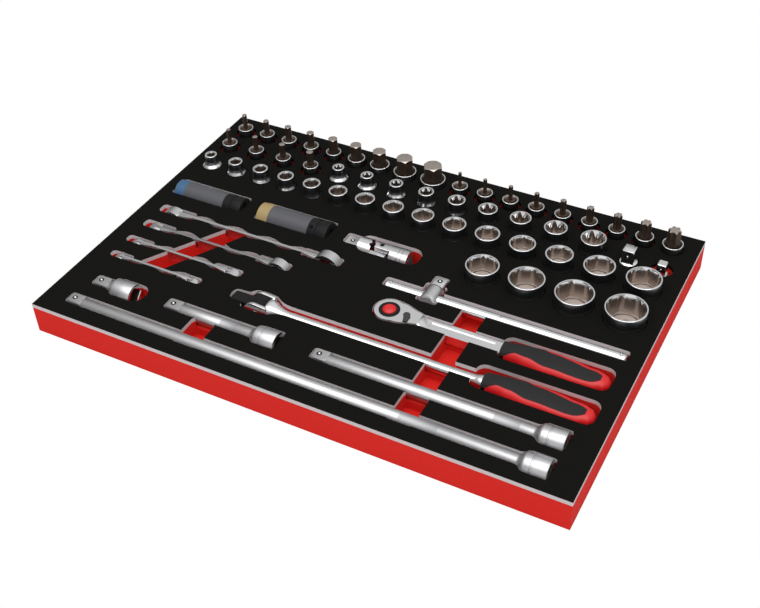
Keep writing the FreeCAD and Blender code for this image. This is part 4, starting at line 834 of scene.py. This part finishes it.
def grip(tool, place, start, end):
    """A swept grip: a red core with a charcoal pad above and one below."""
    steps = 72
    ts = [k / steps for k in range(steps + 1)]

    def point(t, angle, shrink):
        half = smooth(t, STATIONS) / 2 - shrink
        thick = min(11.5, 8.2 + 4.2 * math.sin(math.pi * min(1, t * 1.15 + 0.12))) - shrink
        if t > 0.9:
            thick *= math.sqrt(max(0.05, 1 - ((t - 0.9) / 0.105) ** 2))
        c, s = math.cos(angle), math.sin(angle)
        y = half * math.copysign(abs(c) ** 0.8, c)
        z = thick * math.copysign(abs(s) ** 0.8, s)
        return start + (end - start) * t, y, z

    pads = Maker(f"{tool}_pads_detail", [CHARCOAL])
    covered = [t for t in ts if t < 0.93]
    for side in (1, -1):
        outer, inner = [], []
        for t in covered:
            far = math.acos(pad_share(t, FAR_SHARE) ** 1.25)
            near = math.pi - math.acos(pad_share(t, NEAR_SHARE) ** 1.25)
            angles = [far + (near - far) * i / 28 for i in range(29)]
            outer.append([pads.vert(point(t, side * a, 0.02)) for a in angles])
            inner.append([pads.vert(point(t, side * a, 1.3)) for a in (angles[0], angles[-1])])
        for k in range(len(covered) - 1):
            for i in range(28):
                pads.face((outer[k][i], outer[k][i + 1], outer[k + 1][i + 1], outer[k + 1][i]))
            for i, j in ((0, 0), (28, 1)):
                pads.face((outer[k][i], outer[k + 1][i], inner[k + 1][j], inner[k][j]))
        last = outer[-1]
        pads.face(last + [inner[-1][1], inner[-1][0]])
        pads.face(outer[0])
    pads.finish(tool, [f"{tool}_grip_pads"], place, sharp=50)
    core = Maker(f"{tool}_core_detail", [RED])
    angles = [2 * math.pi * i / 64 for i in range(64)]
    core.loops([[point(t, a, 0.45) for a in angles] for t in ts if t >= 0.03])
    core.finish(tool, [f"{tool}_grip_core"], place, sharp=50)


grip("ratchet", (*RATCHET, 28), 118.3, 223.3)
grip("breaker", (*BREAKER, 27), 240, 346)


# Foam: both layers are cut by the same set of rounded cutters


def rounded(left, right, front, back, radius):
    """A rectangle with rounded corners."""
    points = []
    for x, y, turn in (
        (right - radius, back - radius, 0),
        (left + radius, back - radius, 90),
        (left + radius, front + radius, 180),
        (right - radius, front + radius, 270),
    ):
        for k in range(7):
            a = math.radians(turn + 90 * k / 6)
            points.append((x + radius * math.cos(a), y + radius * math.sin(a)))
    return points


cutters = [(circle(x, y, radius), floor) for x, y, radius, floor in pocket_rounds]


def cut(left, right, front, back, floor, radius=3.0):
    """A pocket with rounded corners, down to a floor."""
    radius = min(radius, (right - left) / 2 - 0.01, (back - front) / 2 - 0.01)
    cutters.append((rounded(left, right, front, back, radius), floor))


END_GAP = 1.8


def cut_bar(left, right, y, height, diameter, side_gap=0.8):
    """A pocket for a bar that lies with its axis at a height."""
    half = diameter / 2 + side_gap
    cut(left - END_GAP, right + END_GAP, y - half, y + half, height - diameter / 2 - STAND_GAP)


# Extension bars: tapering pockets with a deeper part under the flare, and a wide recess round the stub
BAR_FLOOR, FLARE_FLOOR = 23.4, 18.2
for _, start, y, length, _ in EXTENSIONS:
    end = start + length + END_GAP
    half = [
        (start - 1.8, 4.6), (start - 1.1, 6.4), (start + 1.2, 7.6), (end - 31.5, 7.6), (end - 28.5, 8.6),
        (end - 25.5, 11.6), (end - 22.5, 12.8), (end - 2.6, 12.8), (end - 0.8, 12), (end, 10),
    ]
    cutters.append((mirrored(half, y), BAR_FLOOR))
    cutters.append((mirrored([(x, w) for x, w in half if x > end - 30], y), FLARE_FLOOR))
cut(58, 94.6, 45.7, 71.3, FLARE_FLOOR, 11)

# Impact sockets, universal joint, T-bar with its slider
for _, start, radius, *_ in IMPACTS:
    cut_bar(start, start + IMPACT_LENGTH, IMPACT_Y, IMPACT_Z, 2 * radius)
cut(243.3, 313.8, 214.4, 241.6, 14.7, 11)
cut_bar(229.6, 312, JOINT_Y, JOINT_Z, SQUARE, 1.6)
cut_bar(CROSS_START, CROSS_START + CROSS_LENGTH, CROSS_Y, CROSS_Z, 12)
cut(336.1, 359.3, 170.2, 198.8, 19.2)
cut(339.75, 355.65, CROSS_Y, 211.8, 22.85)

# Ratchet and breaker bar: shank, grip, head
SHANK_FLOOR = 20.2
cut(321.7, 440, 137.2, 153.8, SHANK_FLOOR)
cut(438.2, 546.8, 129.7, 161.3, 16.2, 9)
breaker_head = [
    (169.2, 101), (169.8, 105.2), (171.8, 107.8), (174.5, 108.6), (181.7, 108.8), (186, 109.6), (188, 112),
    (190.5, 114.7), (194, 115.8), (202, 116.1), (210.1, 115.7), (215.2, 114.6), (219, 112.2), (223, 109.8),
    (228.2, 108.4), (234, 107.8), (234, 94.2), (228, 93.4), (222, 90.6), (217, 87), (212, 86.2), (192, 86.2),
    (187.5, 87.6), (186.2, 91), (184, 93.6), (174, 93.8), (170.4, 95.4),
]
cutters.append((breaker_head, 13.7))
cut(201, 441, 94.2, 107.8, 21.2)
cut(430.2, 548.8, 85.2, 116.8, 15.2, 9)
ratchet_neck = [(0, 16.5), (6, 16.2), (14.8, 14.6), (24.6, 11.1), (32.6, 9.1)]
cutters.append((circle(*RATCHET, 16.6), SHANK_FLOOR))
cutters.append((mirrored(ratchet_neck, RATCHET[1], RATCHET[0]), SHANK_FLOOR))
cutters.append((circle(*RATCHET, 9.8, 48), 4.7))

# Each wrench: left, right, y; ring diameters; ring heights; ring width and shank width
WRENCHES = (
    (23, 244.2, 187.5, 29, 31, 22.3, 26.5, 11, 3.2),
    (22.5, 200.8, 158, 25, 26, 22, 26.5, 10, 3),
    (22, 161.4, 128.5, 21, 22, 23, 24, 8.5, 2.8),
    (22.4, 130.5, 100.5, 17, 18, 25, 24.5, 7.5, 2.6),
)
SLOT_SHIFT, SLOT_FLOOR = 0.4, 24.0
WAVE, WAVE_LENGTH = 2.3, 40
for left, right, y, ring_a, ring_b, height_a, height_b, width, thin in WRENCHES:
    y += SLOT_SHIFT
    half = width / 2 + 0.8
    start, end = left + ring_a / 2, right - ring_b / 2
    reach = ring_a * 0.9 + END_GAP
    cut(left - END_GAP, start + reach, y - half, y + half, height_a - ring_a / 2 - STAND_GAP, 4)
    reach = ring_b * 0.9 + END_GAP
    cut(end - reach, right + END_GAP, y - half, y + half, height_b - ring_b / 2 - STAND_GAP, 4)
    half = thin / 2 + 1.6
    near, far = [], []
    for k in range(73):
        x = start + (end - start) * k / 72
        middle = y + WAVE * math.cos(2 * math.pi * (x - start) / WAVE_LENGTH)
        near.append((x, middle - half))
        far.append((x, middle + half))
    cutters.append((near + far[::-1], SLOT_FLOOR))

# Finger recesses, and the slanted band through the wrenches' slots
for left, right, front, back in (
    (384.5, 409.5, 17, 54), (384.5, 409.5, 60, 97), (384.5, 409.5, 100, 140), (384.5, 409.5, 150, 184),
    (156, 182, 17, 53),
):
    cut(left, right, front, back, 14)


def band_edges(y):
    """The left and right edge of the band at a y."""
    return 56 + 0.6 * (y - 100.5), 85 + 0.552 * (y - 100.5)


for low, high in ((101.2, 128), (129, 157.4), (158.6, 186.8)):
    (left, right), (far_left, far_right) = band_edges(low), band_edges(high)
    cutters.append(([(left, low), (right, low), (far_right, high), (far_left, high)], 14.05))


def cutter_object():
    """All cutters as one mesh of closed prisms that end above the foam."""
    bm = bmesh.new()
    for outline, floor in cutters:
        low = [bm.verts.new(on_tray(x, y, floor)) for x, y in outline]
        high = [bm.verts.new(on_tray(x, y, FOAM_TOP + 2)) for x, y in outline]
        bm.faces.new(low[::-1])
        bm.faces.new(high)
        for i in range(len(low)):
            j = (i + 1) % len(low)
            bm.faces.new((low[i], low[j], high[j], high[i]))
    bmesh.ops.recalc_face_normals(bm, faces=bm.faces)
    mesh = bpy.data.meshes.new("cutters")
    bm.to_mesh(mesh)
    bm.free()
    obj = bpy.data.objects.new("cutters", mesh)
    bpy.context.scene.collection.objects.link(obj)
    return obj


def foam(node, low, high, materials, cutter, wall, round_wall):
    """A foam layer with every cut-out; level faces have the first material, upright ones their own, round
    pocket walls apart.
    """
    block = Maker(f"{node}_detail", materials)
    block.loops([[(0, 0, z), (WIDTH, 0, z), (WIDTH, DEPTH, z), (0, DEPTH, z)] for z in (low, high)])
    obj = block.finish("tray", [node])
    cut_away(obj, cutter)
    for face in obj.data.polygons:
        face.use_smooth = False
        face.material_index = 0
        if abs(face.normal.z) < 0.5:
            x, y = face.center.x / MM, face.center.y / MM
            in_round = any(abs(math.hypot(x - a, y - b) - radius) < 0.3 for a, b, radius, _ in pocket_rounds)
            face.material_index = round_wall if in_round else wall


cutter = cutter_object()
# The top layer's round pocket walls are black, painted shade in the gap round each upright piece; its other
# walls take the pale edge colour
foam("foam_top", BASE_TOP, FOAM_TOP, [BLACK_FOAM, FOAM_EDGE], cutter, wall=1, round_wall=0)
foam("foam_base", 0, BASE_TOP, [RED_FOAM], cutter, wall=0, round_wall=0)
bpy.data.objects.remove(cutter)


# Studio: a pale floor that the camera sees as white, soft light, camera where the photograph was taken

scene = bpy.context.scene
floor_mesh = bpy.data.meshes.new("studio_floor")
floor_mesh.from_pydata([(-6, -6, 0), (6, -6, 0), (6, 6, 0), (-6, 6, 0)], [], [(0, 1, 2, 3)])
floor = bpy.data.objects.new("studio_floor", floor_mesh)
floor.location = (0, 0, -0.0004)
scene.collection.objects.link(floor)
white = bpy.data.materials.new("studio_white")
white.use_nodes = True
tree = white.node_tree
tree.nodes.clear()
out = tree.nodes.new("ShaderNodeOutputMaterial")
mix = tree.nodes.new("ShaderNodeMixShader")
path = tree.nodes.new("ShaderNodeLightPath")
glow = tree.nodes.new("ShaderNodeEmission")
glow.inputs["Color"].default_value = (1, 1, 1, 1)
glow.inputs["Strength"].default_value = 1.0
paint = tree.nodes.new("ShaderNodeBsdfDiffuse")
paint.inputs["Color"].default_value = (0.8, 0.8, 0.8, 1)
tree.links.new(path.outputs["Is Camera Ray"], mix.inputs["Fac"])
tree.links.new(paint.outputs["BSDF"], mix.inputs[1])
tree.links.new(glow.outputs["Emission"], mix.inputs[2])
tree.links.new(mix.outputs["Shader"], out.inputs["Surface"])
floor_mesh.materials.append(white)

# A sky that is brighter above than below, and a little brighter towards +X
world = scene.world or bpy.data.worlds.new("studio")
scene.world = world
world.use_nodes = True
sky = world.node_tree
background = sky.nodes["Background"]
background.inputs["Color"].default_value = (1, 1, 1, 1)
direction = sky.nodes.new("ShaderNodeTexCoord")
split = sky.nodes.new("ShaderNodeSeparateXYZ")
sky.links.new(direction.outputs["Generated"], split.inputs["Vector"])
ramp = sky.nodes.new("ShaderNodeValToRGB")
ramp.color_ramp.elements[0].position = 0.0
ramp.color_ramp.elements[0].color = (0.26, 0.26, 0.26, 1)
ramp.color_ramp.elements[1].position = 1.0
ramp.color_ramp.elements[1].color = (0.8, 0.8, 0.8, 1)
for place, level in ((0.3, 0.34), (0.6, 0.62), (0.72, 0.78)):
    element = ramp.color_ramp.elements.new(place)
    element.color = (level, level, level, 1)
sky.links.new(split.outputs["Z"], ramp.inputs["Fac"])
tilt = sky.nodes.new("ShaderNodeMath")
tilt.operation = "MULTIPLY_ADD"
tilt.inputs[1].default_value = 0.28
tilt.inputs[2].default_value = 1.0
sky.links.new(split.outputs["X"], tilt.inputs[0])
strength = sky.nodes.new("ShaderNodeMath")
strength.operation = "MULTIPLY"
sky.links.new(ramp.outputs["Color"], strength.inputs[0])
sky.links.new(tilt.outputs["Value"], strength.inputs[1])
sky.links.new(strength.outputs["Value"], background.inputs["Strength"])


def softbox(name, place, aim, size, power):
    """A rectangular area light, in metres and watts, turned towards its aim."""
    light = bpy.data.lights.new(name, "AREA")
    light.shape = "RECTANGLE"
    light.size, light.size_y = size
    light.energy = power
    obj = bpy.data.objects.new(name, light)
    obj.location = place
    obj.rotation_euler = (Vector(aim) - Vector(place)).to_track_quat("-Z", "Y").to_euler()
    scene.collection.objects.link(obj)


softbox("overhead_box", (0.15, -0.5, 1.7), (0, 0, 0), (2.4, 1.8), 24)
softbox("front_box", (0.3, -2.4, 0.5), (0, 0, 0.1), (2.6, 0.9), 4)

# The camera was solved from the tray's corners in the photograph; its place is in metres
camera_data = bpy.data.cameras.new("photo_camera")
camera_data.sensor_width = 36
camera_data.sensor_fit = "HORIZONTAL"
camera_data.lens = 55.07
camera_data.clip_start = 0.01
camera = bpy.data.objects.new("photo_camera", camera_data)
right = Vector((0.88443, 0.46567, -0.03065))
down = Vector((0.28478, -0.59058, -0.75506))
ahead = Vector((-0.36971, 0.65907, -0.65494))
turn = Matrix((right, -down, -ahead)).transposed()
camera.matrix_world = Matrix.Translation((0.4450, -0.7852, 0.7745)) @ turn.to_4x4()
scene.collection.objects.link(camera)
scene.camera = camera
scene.view_settings.view_transform = "Standard"
